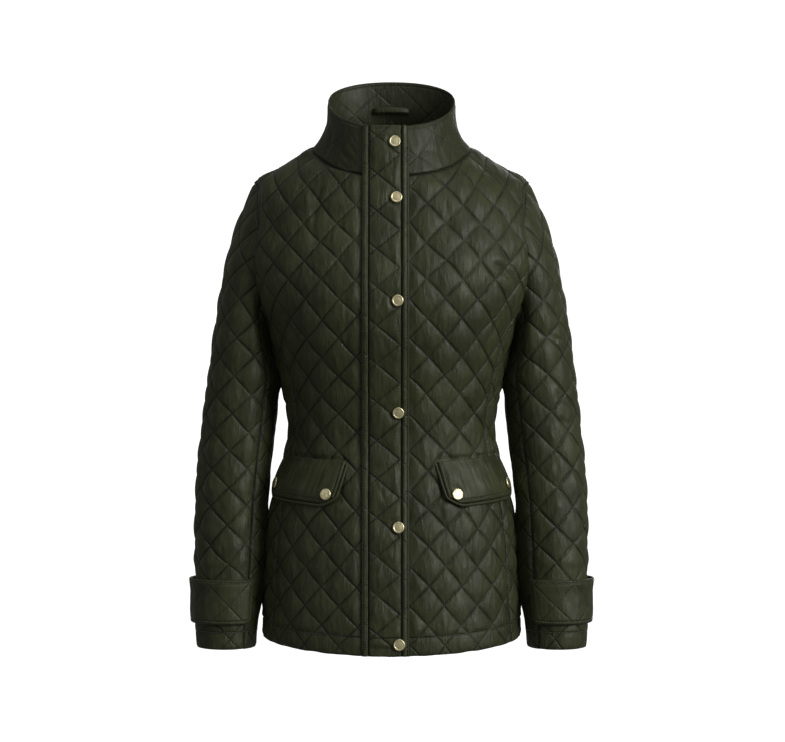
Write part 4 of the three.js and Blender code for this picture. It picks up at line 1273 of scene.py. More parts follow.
@dataclass
class Placket:
    """The wind flap over the front opening, its fold strip and its binding."""

    form: PlacketForm
    left: float = -37.0
    right: float = 22.0
    fold_width: float = 8.0
    binding_width: float = 9.0
    thickness: float = 2.6
    puff: float = 3.5
    half_width: float = 28.5
    line_x: float = -18.6
    phase_z: float = -142.7
    snaps: tuple[tuple[float, float], ...] = (
        (4, -7), (6, -78), (7.5, -207), (8.5, -346), (8.5, -488), (9.5, -632),
    )

    def strip(self, from_x: float, to_x: float, columns: int, top: Callable[[Array], Array],
              lift: Callable[[Array, Array], Array]) -> tuple[Shell, tuple[float, float], float]:
        """One strip's wall.

        Args:
            from_x: Its edge on the wearer's right.
            to_x: Its edge on the wearer's left.
            columns: Steps across.
            top: Height of its upper end, by distance across.
            lift: Its outer face's distance out, by place.

        Returns:
            The shell, its flat size and its area.
        """
        across = np.linspace(from_x, to_x, columns + 1)
        x, rise = np.meshgrid(across, np.linspace(0, 1, 332))
        z = mix(self.form.BOTTOM, top(x), rise)
        plain = self.form.point(x, z, np.zeros_like(x))
        outer = self.form.point(x, z, lift(x, z))
        u, v = (x - self.line_x) / self.half_width, (z - self.phase_z) / CLOTH.half_height
        near = np.minimum(np.minimum(x - from_x, to_x - x), 30)
        quilt = np.stack([(u + v) / 2, (u - v) / 2, near], axis=-1)
        flat = np.stack([x + 4000, z, z - self.form.BOTTOM], axis=-1)
        shell = grid_shell(outer, plain, quilt, flat)
        column = plain[:, columns // 2]
        length = float(np.linalg.norm(np.diff(column, axis=0), axis=1).sum())
        area = area_of(plain.reshape(-1, 3), shell.triangles)
        turned_in = 2.5
        return shell, ((to_x - from_x + turned_in) * MM, length * MM), area

    def main_lift(self, x: Array, z: Array) -> Array:
        """The quilted strip's outer face.

        Args:
            x: Across.
            z: Heights.

        Returns:
            Cloth and diamonds, pressed in round the snaps and at the stitched ends.
        """
        u, v = (x - self.line_x) / self.half_width, (z - self.phase_z) / CLOTH.half_height
        height = quilt_height((u + v) / 2, (u - v) / 2)
        for snap_x, snap_z in self.snaps:
            height = height * mix(0.12, 1.0, smooth((np.hypot(x - snap_x, z - snap_z) - 6.5) / 9))
        near = np.minimum(x - (self.left + self.fold_width), self.right - self.binding_width - x)
        ends = smooth((z - self.form.BOTTOM - 9) / 8) * smooth((self.form.TOP - 4 - z) / 8)
        lines = groove(z - self.form.BOTTOM - 10, 1.3) + groove(self.form.TOP - 5 - z, 1.2)
        wave = 0.5 * noise(x / 16, z / 31, 61) + 0.35 * noise(x / 7, z / 11, 62)
        edge = smooth((near + 0.4) / 3)
        padding = self.puff * height * mix(0.25, 1, smooth(near / 9)) * mix(0.2, 1, ends)
        return (self.thickness - 0.3) * mix(0.45, 1, edge) + (padding + wave - 0.8 * lines) * edge

    def fold_lift(self, x: Array, z: Array) -> Array:
        """The fold strip's outer face."""
        across = x - self.left
        bead = np.sqrt(np.clip(1 - ((across - 4) / 4.4) ** 2, 0.04, 1))
        lines = groove(across - 1.3, 0.6) + groove(across - 7.0, 0.6)
        pucker = 0.35 * noise(across / 5, z / 4.5, 63) + 0.4 * noise(across / 9, z / 19, 64)
        return 3.9 * bead + pucker - 0.6 * lines

    def binding_lift(self, x: Array, z: Array) -> Array:
        """The binding's outer face."""
        across = x - (self.right - self.binding_width)
        bead = np.sqrt(np.clip(1 - ((across - 3.0) / 3.5) ** 2, 0, 1))
        pipe = np.sqrt(np.clip(1 - ((across - 7.8) / 1.3) ** 2, 0, 1))
        pucker = 0.3 * noise(across / 4, z / 5, 65) + 0.35 * noise(across / 9, z / 23, 66)
        return 1.3 + 2.7 * bead + 2.0 * pipe + pucker * bead

    def corner(self, x: Array) -> Array:
        """The binding's rounded top corner."""
        past = np.clip(x - (self.right - 6), 0, 6)
        return self.form.TOP - (6 - np.sqrt(36 - past ** 2))

    def build(self) -> dict[str, tuple[Shell, tuple[float, float], float]]:
        """The three strips."""
        fold, bound = self.left + self.fold_width, self.right - self.binding_width
        half = CLOTH.seam_gap / 2

        def level(x: Array) -> Array:
            return np.full_like(x, self.form.TOP)

        return {
            "placket": self.strip(fold + half, bound - half, 48, level, self.main_lift),
            "placket_fold_strip": self.strip(self.left, fold - half, 16, level, self.fold_lift),
            "placket_edge_binding": self.strip(
                bound + half, self.right, 24, self.corner, self.binding_lift
            ),
        }

    def snap_places(self) -> list[SnapPlace]:
        """The snaps down the strip."""
        places = []
        for number, (x, z) in enumerate(self.snaps, 1):
            around_x = np.array([x, x, x - 6, x + 6, x], dtype=float)
            around_z = np.array([z - 6.6, z + 6.6, z, z, z], dtype=float)
            points = self.form.point(around_x, around_z, np.full(5, self.thickness))
            normal = unit(np.cross(points[3] - points[2], points[1] - points[0]))
            centre = points[4] + normal * 0.6
            places.append(SnapPlace(f"placket_snap_{number}", tuple(centre), tuple(normal)))
        return places


@dataclass
class PocketFlap:
    """A pocket flap with a bound edge, on the wearer's left or mirrored."""

    body: BodyForm
    side: Side
    top: tuple[tuple[float, float], tuple[float, float]] = ((3.1, -408.0), (9.0, -401.0))
    bottom: tuple[tuple[float, float], tuple[float, float]] = ((3.6, -462.0), (9.8, -452.0))
    lift: float = 6.4
    thickness: float = 2.4
    width: float = 92.0
    height: float = 53.0
    snaps: tuple[tuple[float, float], ...] = ((4.15, -449.0), (8.9, -439.0))

    def place(self, across: Array, down: Array) -> tuple[Array, Array]:
        """Column and height of a place on the flap."""
        near_end = smooth((np.abs(across - 0.5) - 0.36) / 0.14)
        ends = [
            mix(mix(self.top[0][axis], self.top[1][axis], across),
                mix(self.bottom[0][axis], self.bottom[1][axis], across), down)
            for axis in (0, 1)
        ]
        return ends[0], ends[1] + 9 * near_end * np.clip(down, 0, 2) ** 3

    def point(self, across: Array, down: Array, lift: Array) -> Array:
        """A point of the flap."""
        column, z = self.place(across, down)
        column = column * self.side.value
        raised = (lift - 3.4 * (1 - down) ** 2)[..., None]
        return self.body.point(column, z) + self.body.normal(column, z) * raised

    def build(self) -> tuple[Shell, float]:
        """The flap's wall.

        Returns:
            The shell and its area: gathers run down it, with a stitched line inside
            its edges and a hollow round each snap.
        """
        across, down = np.meshgrid(np.linspace(0, 1, 77), np.linspace(1, 0, 46))
        x, y = across * self.width, down * self.height
        rim = np.minimum(np.minimum(x, self.width - x), self.height - y)
        gather = 1.0 * noise(x / 5.5 + 0.25 * noise(y / 15, y * 0, 73), y / 34, 70)
        gather = gather + 0.5 * noise(x / 2.6, y / 16, 71) + 0.8 * noise(x / 19, y / 26, 72)
        pressed = np.ones_like(x)
        for column, z in self.snaps:
            snap_x = (column - self.bottom[0][0]) / (self.bottom[1][0] - self.bottom[0][0])
            low = mix(self.bottom[0][1], self.bottom[1][1], snap_x)
            high = mix(self.top[0][1], self.top[1][1], snap_x)
            snap_down = (high - z) / (high - low)
            away = np.hypot(x - snap_x * self.width, y - snap_down * self.height)
            pressed = pressed * mix(0.1, 1, smooth((away - 6) / 8))
        line = groove(rim - 4.5, 0.9)
        edge = smooth((rim + 0.5) / 2.2)
        bulge = 1.7 * smooth(rim / 16) * smooth(y / 14)
        relief = (bulge + gather * 0.75 * mix(0.6, 1, smooth(y / 12))) * pressed - 0.8 * line
        lift = self.lift + self.thickness * mix(0.4, 1, edge) + relief * edge
        inner = self.point(across, down, np.full_like(x, self.lift))
        quilt = np.stack([across * 0 + 0.5, across * 0 + 0.5, np.minimum(rim, 30)], axis=-1)
        flat = np.stack([x + 5000, -y, rim], axis=-1)
        turned = self.side is Side.RIGHT
        shell = grid_shell(self.point(across, down, lift), inner, quilt, flat, turned)
        return shell, area_of(inner.reshape(-1, 3), shell.triangles)

    def edge_path(self) -> tuple[Array, Array]:
        """The route of the binding round three edges.

        Returns:
            Points just outside the edges and the surface's directions there,
            evened by a running mean so that the corners are round.
        """
        falling = np.linspace(0.04, 1, 46)
        level = np.linspace(0, 1, 82)[1:-1]
        across = np.concatenate([falling * 0, level, falling * 0 + 1])
        down = np.concatenate([falling, level * 0 + 1, falling[::-1]])
        points = self.point(across, down, np.full_like(across, self.lift + 1.2))
        inward = self.point(across, down, np.full_like(across, self.lift - 4))
        weights = np.ones(9) / 9
        ends = (points[:1], points[-1:])
        padded = np.concatenate([np.repeat(ends[0], 4, 0), points, np.repeat(ends[1], 4, 0)])
        even = np.stack([np.convolve(padded[:, axis], weights, "valid") for axis in range(3)], 1)
        normal = unit(points - inward)
        along = unit(np.gradient(even, axis=0))
        outward = unit(np.cross(along, normal)) * -self.side.value
        middle = self.point(np.array([0.5]), np.array([0.5]), np.array([self.lift]))
        outward = outward * np.sign(((even - middle) * outward).sum(1, keepdims=True))
        return even + outward * 2.2, normal

    def snap_places(self) -> list[SnapPlace]:
        """The flap's two snaps."""
        places = []
        for number, (column, z) in enumerate(self.snaps, 1):
            across = (column - self.bottom[0][0]) / (self.bottom[1][0] - self.bottom[0][0])
            high = mix(self.top[0][1], self.top[1][1], across)
            low = mix(self.bottom[0][1], self.bottom[1][1], across)
            sink = 3.4 * (1 - (high - z) / (high - low)) ** 2
            here = (np.array([column * self.side.value]), np.array([z]))
            normal = self.body.normal(*here)[0]
            centre = self.body.point(*here)[0] + normal * (self.lift + self.thickness - sink + 0.3)
            name = f"flap_snap_{self.side.word}_{number}"
            places.append(SnapPlace(name, tuple(centre), tuple(normal)))
        return places


@dataclass
class CuffTab:
    """The tab round the outer half of a cuff."""

    sleeve: SleeveForm
    side: Side
    top_z: float = -558.0
    bottom_z: float = -614.0
    front: float = 5.2
    back: float = -4.0
    lift: float = 6.7
    thickness: float = 2.4

    def point(self, around: Array, down: Array, lift: Array) -> Array:
        """A point of the tab."""
        corner = np.clip(1 - around / 0.055, 0, 1)
        z = mix(self.top_z, self.bottom_z, down) + 9 * (1 - np.sqrt(1 - corner ** 2)) * down ** 2
        share = self.sleeve.share_at(np.zeros_like(z), z)
        point = self.sleeve.point(share, mix(self.front, self.back, around), lift)
        point[..., 0] *= self.side.value
        return point

    def flare(self, around: Array, y: Array) -> Array:
        """How far the tab's top stands off the sleeve."""
        return 3.0 * (1 - smooth(y / 20)) * np.exp(-(((around - 0.52) / 0.3) ** 2))

    def build(self) -> tuple[Shell, tuple[float, float], float]:
        """The tab's wall.

        Returns:
            The shell, its flat size and its area: faint slanted quilting between a
            stitched line along the top and one along the bottom.
        """
        around, down = np.meshgrid(np.linspace(0, 1, 132), np.linspace(1, 0, 43))
        plain = self.point(around, down, np.full_like(around, self.lift))
        length = float(np.linalg.norm(np.diff(plain[20], axis=0), axis=1).sum())
        x, y = around * length, down * (self.top_z - self.bottom_z)
        tall = self.top_z - self.bottom_z
        rim = np.minimum(np.minimum(x, length - x), np.minimum(y, tall - y))
        u, v = (x - 8) / 25, (y - 6) / 26
        p, q = (u + v) / 2, (u - v) / 2
        pillow = (np.abs(np.sin(math.pi * p)) * np.abs(np.sin(math.pi * q))) ** 0.5
        line = groove(rim - 3.6, 0.9)
        crinkle = 0.5 * noise(x / 8, y / 13, 81) + 0.5 * noise(x / 21, y / 17, 82)
        flare = self.flare(around, y)
        edge = smooth((rim + 0.5) / 2.0)
        relief = 0.8 * pillow * smooth((rim - 2) / 7) + crinkle - 0.8 * line
        lift = self.lift + self.thickness * mix(0.4, 1, edge) + relief * edge + flare
        outer = self.point(around, down, lift)
        inner = self.point(around, down, self.lift + flare)
        quilt = np.stack([p, q, np.minimum(rim, 30)], axis=-1)
        flat = np.stack([x + 6000, -y, rim], axis=-1)
        shell = grid_shell(outer, inner, quilt, flat, self.side is Side.RIGHT)
        area = area_of(plain.reshape(-1, 3), shell.triangles)
        return shell, (length * MM, tall * MM), area


@dataclass
class HangerLoop:
    """The loop inside the back of the collar."""

    collar: CollarForm
    width: float = 46.0
    height: float = 8.0
    bow: float = 9.0
    thickness: float = 1.8
    rise: float = 0.4

    def build(self) -> tuple[Shell, tuple[float, float], float]:
        """The loop's wall.

        Returns:
            The shell, its flat size and its area: half an ellipse, seen from above,
            from the collar and back to it.
        """
        share, level = np.meshgrid(np.linspace(0, 1, 65), np.linspace(0, 1, 11))
        angle = (share - 0.5) * math.pi
        x = self.width / 2 * np.sin(angle)
        turn = np.where(x < 0, -1, 1) * (2 - np.abs(x) / 92)
        wall = self.collar.point(turn, np.full_like(turn, self.rise))
        edge = smooth(np.minimum(level, 1 - level) / 0.2)
        z = wall[..., 2] + (level - 0.5) * self.height

        def layer(extra: Array) -> Array:
            y = wall[..., 1] - 0.4 - self.bow * np.cos(angle) - extra
            return np.stack([x, y, z], axis=-1)

        near = np.minimum(level, 1 - level) * self.height
        quilt = np.stack([x * 0 + 0.5, x * 0 + 0.5, near], axis=-1)
        flat = np.stack([x + 7000, level * self.height, near], axis=-1)
        thick = self.thickness * mix(0.5, 1, edge) + 0.12 * noise(x / 3, z / 3, 91)
        shell = grid_shell(layer(thick), layer(x * 0), quilt, flat)
        area = area_of(layer(x * 0).reshape(-1, 3), shell.triangles)
        turned_in = 2.0
        return shell, (area / (self.height * MM), (self.height + turned_in) * MM), area


def tube(route: Array, normals: Array, radius: float, sides: int) -> tuple[Array, Array]:
    """A closed tube along a route.

    Args:
        route: Points of its middle line.
        normals: Directions that keep it from twisting.
        radius: Its radius.
        sides: Points round it.

    Returns:
        Points and triangles: a circle square to the route at each point, a little
        uneven, with a middle point at each end.
    """
    along = unit(np.gradient(route, axis=0))
    across = unit(np.cross(along, normals))
    up = np.cross(across, along)
    angle = np.linspace(0, 2 * math.pi, sides, endpoint=False)
    place = np.arange(len(route))[:, None] + 0 * angle
    reach = radius * (1 + 0.07 * noise(place / 5, angle * 1.5 + 0 * place, 95))[..., None]
    ring = across[:, None] * np.cos(angle)[None, :, None] + up[:, None] * np.sin(angle)[None, :, None]
    points = (route[:, None] + ring * reach).reshape(-1, 3)
    i, j = np.meshgrid(np.arange(len(route) - 1), np.arange(sides), indexing="ij")
    a, b = (i * sides + j).ravel(), (i * sides + (j + 1) % sides).ravel()
    sheath = np.concatenate([np.stack([a, b, b + sides], 1), np.stack([a, b + sides, a + sides], 1)])
    first, last = len(points), len(points) + 1
    k = np.arange(sides)
    start = np.stack([np.full(sides, first), (k + 1) % sides, k], 1)
    far = (len(route) - 1) * sides
    end = np.stack([np.full(sides, last), far + k, far + (k + 1) % sides], 1)
    points = np.concatenate([points, route[:1], route[-1:]])
    return points, np.concatenate([sheath, start, end])


def stitches(route: Array, normals: Array, length: float = 2.5, pitch: float = 3.5,
             radius: float = 0.34) -> tuple[Array, Array]:
    """A row of stitches, each a short thread that dips in at both ends.

    Args:
        route: Points of the row.
        normals: The cloth's directions along it.
        length: Length of a stitch.
        pitch: Distance from one to the next.
        radius: Half thickness of the thread.

    Returns:
        Points and triangles: two ends joined by two rings of four points each.
    """
    measured = np.concatenate([[0], np.cumsum(np.linalg.norm(np.diff(route, axis=0), axis=1))])
    starts = np.arange(pitch / 2, measured[-1] - length, pitch)
    places = starts[:, None] + length * np.array([0, 0.25, 0.75, 1])
    read = [np.interp(places, measured, route[:, axis]) for axis in range(3)]
    up = unit(np.stack([np.interp(places, measured, normals[:, axis]) for axis in range(3)], -1))
    middle = np.stack(read, -1)
    along = unit(middle[:, 3] - middle[:, 0])[:, None]
    across = unit(np.cross(along, up))
    height = np.array([-0.3, radius * 0.6, radius * 0.6, -0.3])[None, :, None]
    middle = middle + up * height
    turns = [across, up, -across, -up]
    rings = [middle[:, station, None] + radius * np.stack([turn[:, station] for turn in turns], 1)
             for station in (1, 2)]
    points = np.concatenate([middle[:, :1], *rings, middle[:, 3:]], axis=1)
    faces = []
    for k in range(4):
        n = (k + 1) % 4
        faces += [(0, 1 + n, 1 + k), (1 + k, 1 + n, 5 + n), (1 + k, 5 + n, 5 + k), (9, 5 + k, 5 + n)]
    offsets = np.arange(len(starts))[:, None, None] * 10
    return points.reshape(-1, 3), (np.array(faces)[None] + offsets).reshape(-1, 3)


def joined(parts: Sequence[tuple[Array, Array]]) -> tuple[Array, Array]:
    """Several meshes as one."""
    points, triangles, count = [], [], 0
    for part_points, part_triangles in parts:
        points.append(part_points)
        triangles.append(part_triangles + count)
        count += len(part_points)
    return np.concatenate(points), np.concatenate(triangles)


@dataclass(frozen=True)
class Snap:
    """A snap's cap: a raised rim round a shallow recess and a plain low dome."""

    sides: int = 48
    profile: tuple[tuple[float, float], ...] = (
        (0.0, 0.0), (6.4, 0.0), (7.1, 0.35), (7.4, 1.1), (7.3, 1.8), (7.0, 2.4), (6.5, 2.8),
        (6.0, 2.88), (5.7, 2.78), (5.4, 2.62), (5.1, 2.56), (4.5, 2.6), (3.6, 2.7), (2.6, 2.78),
        (1.4, 2.84), (0.6, 2.86), (0.0, 2.87),
    )

    def build(self, place: SnapPlace) -> tuple[Array, Array]:
        """The cap at a place.

        Args:
            place: Centre and direction.

        Returns:
            Points and triangles of the profile turned round the direction.
        """
        up = unit(np.array(place.normal))
        across = unit(np.cross(np.array([0.0, 0.0, 1.0]), up))
        other = np.cross(up, across)
        rings = np.array(self.profile[1:-1])
        angle = np.linspace(0, 2 * math.pi, self.sides, endpoint=False)
        turn = np.cos(angle)[:, None] * across + np.sin(angle)[:, None] * other
        points = rings[:, 0, None, None] * turn[None] + rings[:, 1, None, None] * up
        count = len(rings)
        i, j = np.meshgrid(np.arange(count - 1), np.arange(self.sides), indexing="ij")
        a, b = (i * self.sides + j).ravel(), (i * self.sides + (j + 1) % self.sides).ravel()
        side = np.concatenate([
            np.stack([a, b, b + self.sides], 1), np.stack([a, b + self.sides, a + self.sides], 1),
        ])
        k = np.arange(self.sides)
        foot, crown, far = count * self.sides, count * self.sides + 1, (count - 1) * self.sides
        base = np.stack([np.full(self.sides, foot), (k + 1) % self.sides, k], 1)
        top = np.stack([np.full(self.sides, crown), far + k, far + (k + 1) % self.sides], 1)
        ends = np.array([up * 0, up * self.profile[-1][1]])
        points = np.concatenate([points.reshape(-1, 3), ends]) + np.array(place.centre)
        return points, np.concatenate([side, base, top])


class NodeMaterial:
    """Short ways to add shader nodes to a material."""

    def __init__(self, name: str) -> None:
        """Starts an empty material."""
        self.material = bpy.data.materials.new(name)
        self.material.use_nodes = True
        self.tree = self.material.node_tree
        self.tree.nodes.clear()
        output = self.tree.nodes.new("ShaderNodeOutputMaterial")
        self.shader = self.tree.nodes.new("ShaderNodeBsdfPrincipled")
        self.tree.links.new(self.shader.outputs[0], output.inputs[0])

    def put(self, socket: bpy.types.NodeSocket, value: object) -> None:
        """Links or sets a socket."""
        if isinstance(value, bpy.types.NodeSocket):
            self.tree.links.new(value, socket)
        else:
            socket.default_value = value

    def math(self, operation: str, *values: object, clamp: bool = False) -> bpy.types.NodeSocket:
        """Adds a Math node."""
        node = self.tree.nodes.new("ShaderNodeMath")
        node.operation = operation
        node.use_clamp = clamp
        for socket, value in zip(node.inputs, values):
            self.put(socket, value)
        return node.outputs[0]

    def ramp(self, value: object, low: float, high: float, start: float,
             end: float) -> bpy.types.NodeSocket:
        """Adds a smooth step."""
        node = self.tree.nodes.new("ShaderNodeMapRange")
        node.interpolation_type = "SMOOTHSTEP"
        for socket, item in zip(node.inputs, (value, low, high, start, end)):
            self.put(socket, item)
        return node.outputs[0]

    def read(self, name: str) -> list[bpy.types.NodeSocket]:
        """Adds an attribute and parts it."""
        node = self.tree.nodes.new("ShaderNodeAttribute")
        node.attribute_name = name
        parts = self.tree.nodes.new("ShaderNodeSeparateXYZ")
        self.put(parts.inputs[0], node.outputs["Vector"])
        return [*parts.outputs, node.outputs["Vector"]]

    def cloud(self, place: object, scale: tuple[float, float, float],
              detail: float) -> bpy.types.NodeSocket:
        """Adds noise."""
        mapping = self.tree.nodes.new("ShaderNodeMapping")
        self.put(mapping.inputs["Vector"], place)
        mapping.inputs["Scale"].default_value = scale
        node = self.tree.nodes.new("ShaderNodeTexNoise")
        self.put(node.inputs["Vector"], mapping.outputs[0])
        node.inputs["Scale"].default_value = 1.0
        node.inputs["Detail"].default_value = detail
        node.inputs["Roughness"].default_value = 0.55
        return node.outputs["Fac"]

    def blend(self, share: object, first: object, second: object) -> bpy.types.NodeSocket:
        """Adds a colour mix."""
        node = self.tree.nodes.new("ShaderNodeMix")
        node.data_type = "RGBA"
        self.put(node.inputs["Factor"], share)
        self.put(node.inputs[6], first)
        self.put(node.inputs[7], second)
        return node.outputs[2]

    def bump(self, height: object, distance: float, normal: object = None) -> bpy.types.NodeSocket:
        """Adds a bump."""
        node = self.tree.nodes.new("ShaderNodeBump")
        node.inputs["Strength"].default_value = 1.0
        node.inputs["Distance"].default_value = distance
        self.put(node.inputs["Height"], height)
        if normal is not None:
            self.put(node.inputs["Normal"], normal)
        return node.outputs[0]


@dataclass(frozen=True)
class ClothFinish:
    """A satin polyester, with quilting lines, wrinkles and a fine weave."""

    name: str
    colour: tuple[float, float, float] = (0.0262, 0.031, 0.0095)
    roughness: float = 0.54
    line_spacing: float = 32.5
    # painted shade: how far the colour is darkened on the quilting lines, seams and fold line
    groove_shade: float = 0.86
    wrinkle: float = 0.0012
    fold_line: float = -100.0

    def make(self) -> bpy.types.Material:
        """Builds the material.

        Returns:
            The material. Its colour is darkened with painted shade on the quilting lines,
            seams and fold line, and varies softly; its bump sinks at the lines, with
            wrinkles that run down the cloth, puckers by the seams and a fine twill.
        """
        kit = NodeMaterial(self.name)
        p, q, near, _ = kit.read("quilt")
        x, z, fold, flat = kit.read("flat")
        to_line = kit.math("MINIMUM", kit.math("PINGPONG", p, 0.5), kit.math("PINGPONG", q, 0.5))
        distance = kit.math("MULTIPLY", to_line, self.line_spacing)
        uneven = kit.ramp(kit.cloud(flat, (0.03, 0.035, 0.0), 1.0), 0.38, 0.6, 0.5, 1.0)
        line = kit.math("MULTIPLY", kit.ramp(distance, 0.2, 1.8, 1.0, 0.0), uneven)
        by_line = kit.ramp(distance, 0.5, 9.0, 1.0, 0.0)
        seam = kit.ramp(near, 0.3, 2.4, 1.0, 0.0)
        by_seam = kit.ramp(near, 1.0, 13.0, 1.0, 0.0)
        fold_off = kit.math("ABSOLUTE", kit.math("SUBTRACT", fold, self.fold_line))
        fold_near = kit.ramp(fold_off, 0.2, 1.5, 1.0, 0.0)
        # painted shade mask: darkness put into the colour on the quilting lines, seams and fold line, where
        # the grooves lie in shade; it also sinks the bump there
        groove_shade_mask = kit.math("MAXIMUM", kit.math("MAXIMUM", line, seam), fold_near)
        broad = kit.cloud(flat, (0.02, 0.014, 0.0), 2.0)
        small = kit.cloud(flat, (0.16, 0.07, 0.0), 3.0)
        tone = kit.math("ADD", kit.math("MULTIPLY", broad, 0.5), kit.math("MULTIPLY", small, 0.5))
        light = tuple(value * 1.28 for value in self.colour) + (1.0,)
        deep = tuple(value * 0.74 for value in self.colour) + (1.0,)
        cloth = kit.blend(kit.ramp(tone, 0.36, 0.64, 0.0, 1.0), deep, light)
        # the painted shade colour for the grooves
        groove_shade_colour = tuple(value * (1 - self.groove_shade) for value in self.colour) + (1.0,)
        shaded = kit.blend(kit.math("MULTIPLY", groove_shade_mask, 0.9), cloth, groove_shade_colour)
        kit.put(kit.shader.inputs["Base Color"], shaded)
        gloss = kit.cloud(flat, (0.09, 0.05, 0.0), 2.0)
        rough = kit.ramp(gloss, 0.3, 0.7, self.roughness - 0.05, self.roughness + 0.07)
        kit.put(kit.shader.inputs["Roughness"], rough)
        for socket, value in (
            ("Specular IOR Level", 0.3), ("Sheen Weight", 0.06), ("Sheen Roughness", 0.42),
            ("Sheen Tint", (0.86, 0.9, 0.72, 1.0)),
        ):
            kit.shader.inputs[socket].default_value = value
        band = kit.math("MULTIPLY_ADD", kit.cloud(flat, (0.085, 0.022, 0.0), 1.5), 2.0, -1.0)
        ridge = kit.math("POWER", kit.math("SUBTRACT", 1.0, kit.math("ABSOLUTE", band)), 4.0)
        finer = kit.cloud(flat, (0.2, 0.035, 0.0), 2.0)
        ridge, finer = kit.math("MULTIPLY", ridge, 0.55), kit.math("MULTIPLY", finer, 0.6)
        long_folds = kit.math("ADD", ridge, finer)
        short_folds = kit.cloud(flat, (0.5, 0.16, 0.0), 2.0)
        puckers = kit.cloud(flat, (0.42, 0.42, 0.0), 1.0)
        amount = kit.math("ADD", kit.math("MULTIPLY", by_line, 0.5), kit.math("MULTIPLY", by_seam, 0.6))
        gathered = kit.math("MULTIPLY", puckers, kit.math("ADD", amount, 0.12))
        short = kit.math("MULTIPLY", short_folds, 0.3)
        wrinkles = kit.math("ADD", kit.math("MULTIPLY", long_folds, 0.75), short)
        normal = kit.bump(kit.math("ADD", wrinkles, kit.math("MULTIPLY", gathered, 0.6)), self.wrinkle)
        normal = kit.bump(kit.math("SUBTRACT", 1.0, groove_shade_mask), 0.0005, normal)
        leaning = kit.math("ADD", x, kit.math("MULTIPLY", z, 0.55))
        slant = kit.math("SINE", kit.math("MULTIPLY", leaning, 9.0))
        cross = kit.math("SINE", kit.math("MULTIPLY", z, 11.0))
        twill = kit.math("MULTIPLY_ADD", kit.math("MULTIPLY", slant, cross), 0.5, 0.5)
        kit.put(kit.shader.inputs["Normal"], kit.bump(twill, 0.000012, normal))
        return kit.material


@dataclass(frozen=True)
class ThreadFinish:
    """Polyester sewing thread, twisted from fine strands."""

    name: str = "olive_thread"
    colour: tuple[float, float, float] = (0.085, 0.092, 0.055)

    def make(self) -> bpy.types.Material:
        """Builds the material.

        Returns:
            A slightly glossy thread whose colour and height vary along it.
        """
        kit = NodeMaterial(self.name)
        place = kit.tree.nodes.new("ShaderNodeTexCoord").outputs["Object"]
        strands = kit.cloud(place, (1500.0, 1500.0, 1500.0), 1.0)
        pale = tuple(value * 1.3 for value in self.colour) + (1.0,)
        deep = tuple(value * 0.7 for value in self.colour) + (1.0,)
        kit.put(kit.shader.inputs["Base Color"], kit.blend(strands, deep, pale))
        kit.shader.inputs["Roughness"].default_value = 0.5
        kit.shader.inputs["Sheen Weight"].default_value = 0.2
        kit.put(kit.shader.inputs["Normal"], kit.bump(strands, 0.0001))
        return kit.material


@dataclass(frozen=True)
class SnapFinish:
    """Pale gold plating with faint brushing and dull patches in small clouds."""

    name: str = "pale_gold"
    colour: tuple[float, float, float] = (0.82, 0.74, 0.45)

    def make(self) -> bpy.types.Material:
        """Builds the material.

        Returns:
            A metal whose colour and roughness vary in small clouds.
        """
        kit = NodeMaterial(self.name)
        place = kit.tree.nodes.new("ShaderNodeTexCoord").outputs["Object"]
        wear = kit.cloud(place, (320.0, 320.0, 320.0), 3.0)
        fine = kit.cloud(place, (2600.0, 2600.0, 900.0), 1.0)
        dull = tuple(value * 0.62 for value in self.colour) + (1.0,)
        shine = kit.ramp(wear, 0.3, 0.6, 0.0, 1.0)
        kit.put(kit.shader.inputs["Base Color"], kit.blend(shine, dull, (*self.colour, 1.0)))
        kit.shader.inputs["Metallic"].default_value = 1.0
        kit.put(kit.shader.inputs["Roughness"], kit.ramp(wear, 0.3, 0.7, 0.5, 0.36))
        kit.put(kit.shader.inputs["Normal"], kit.bump(fine, 0.00002))
        return kit.material


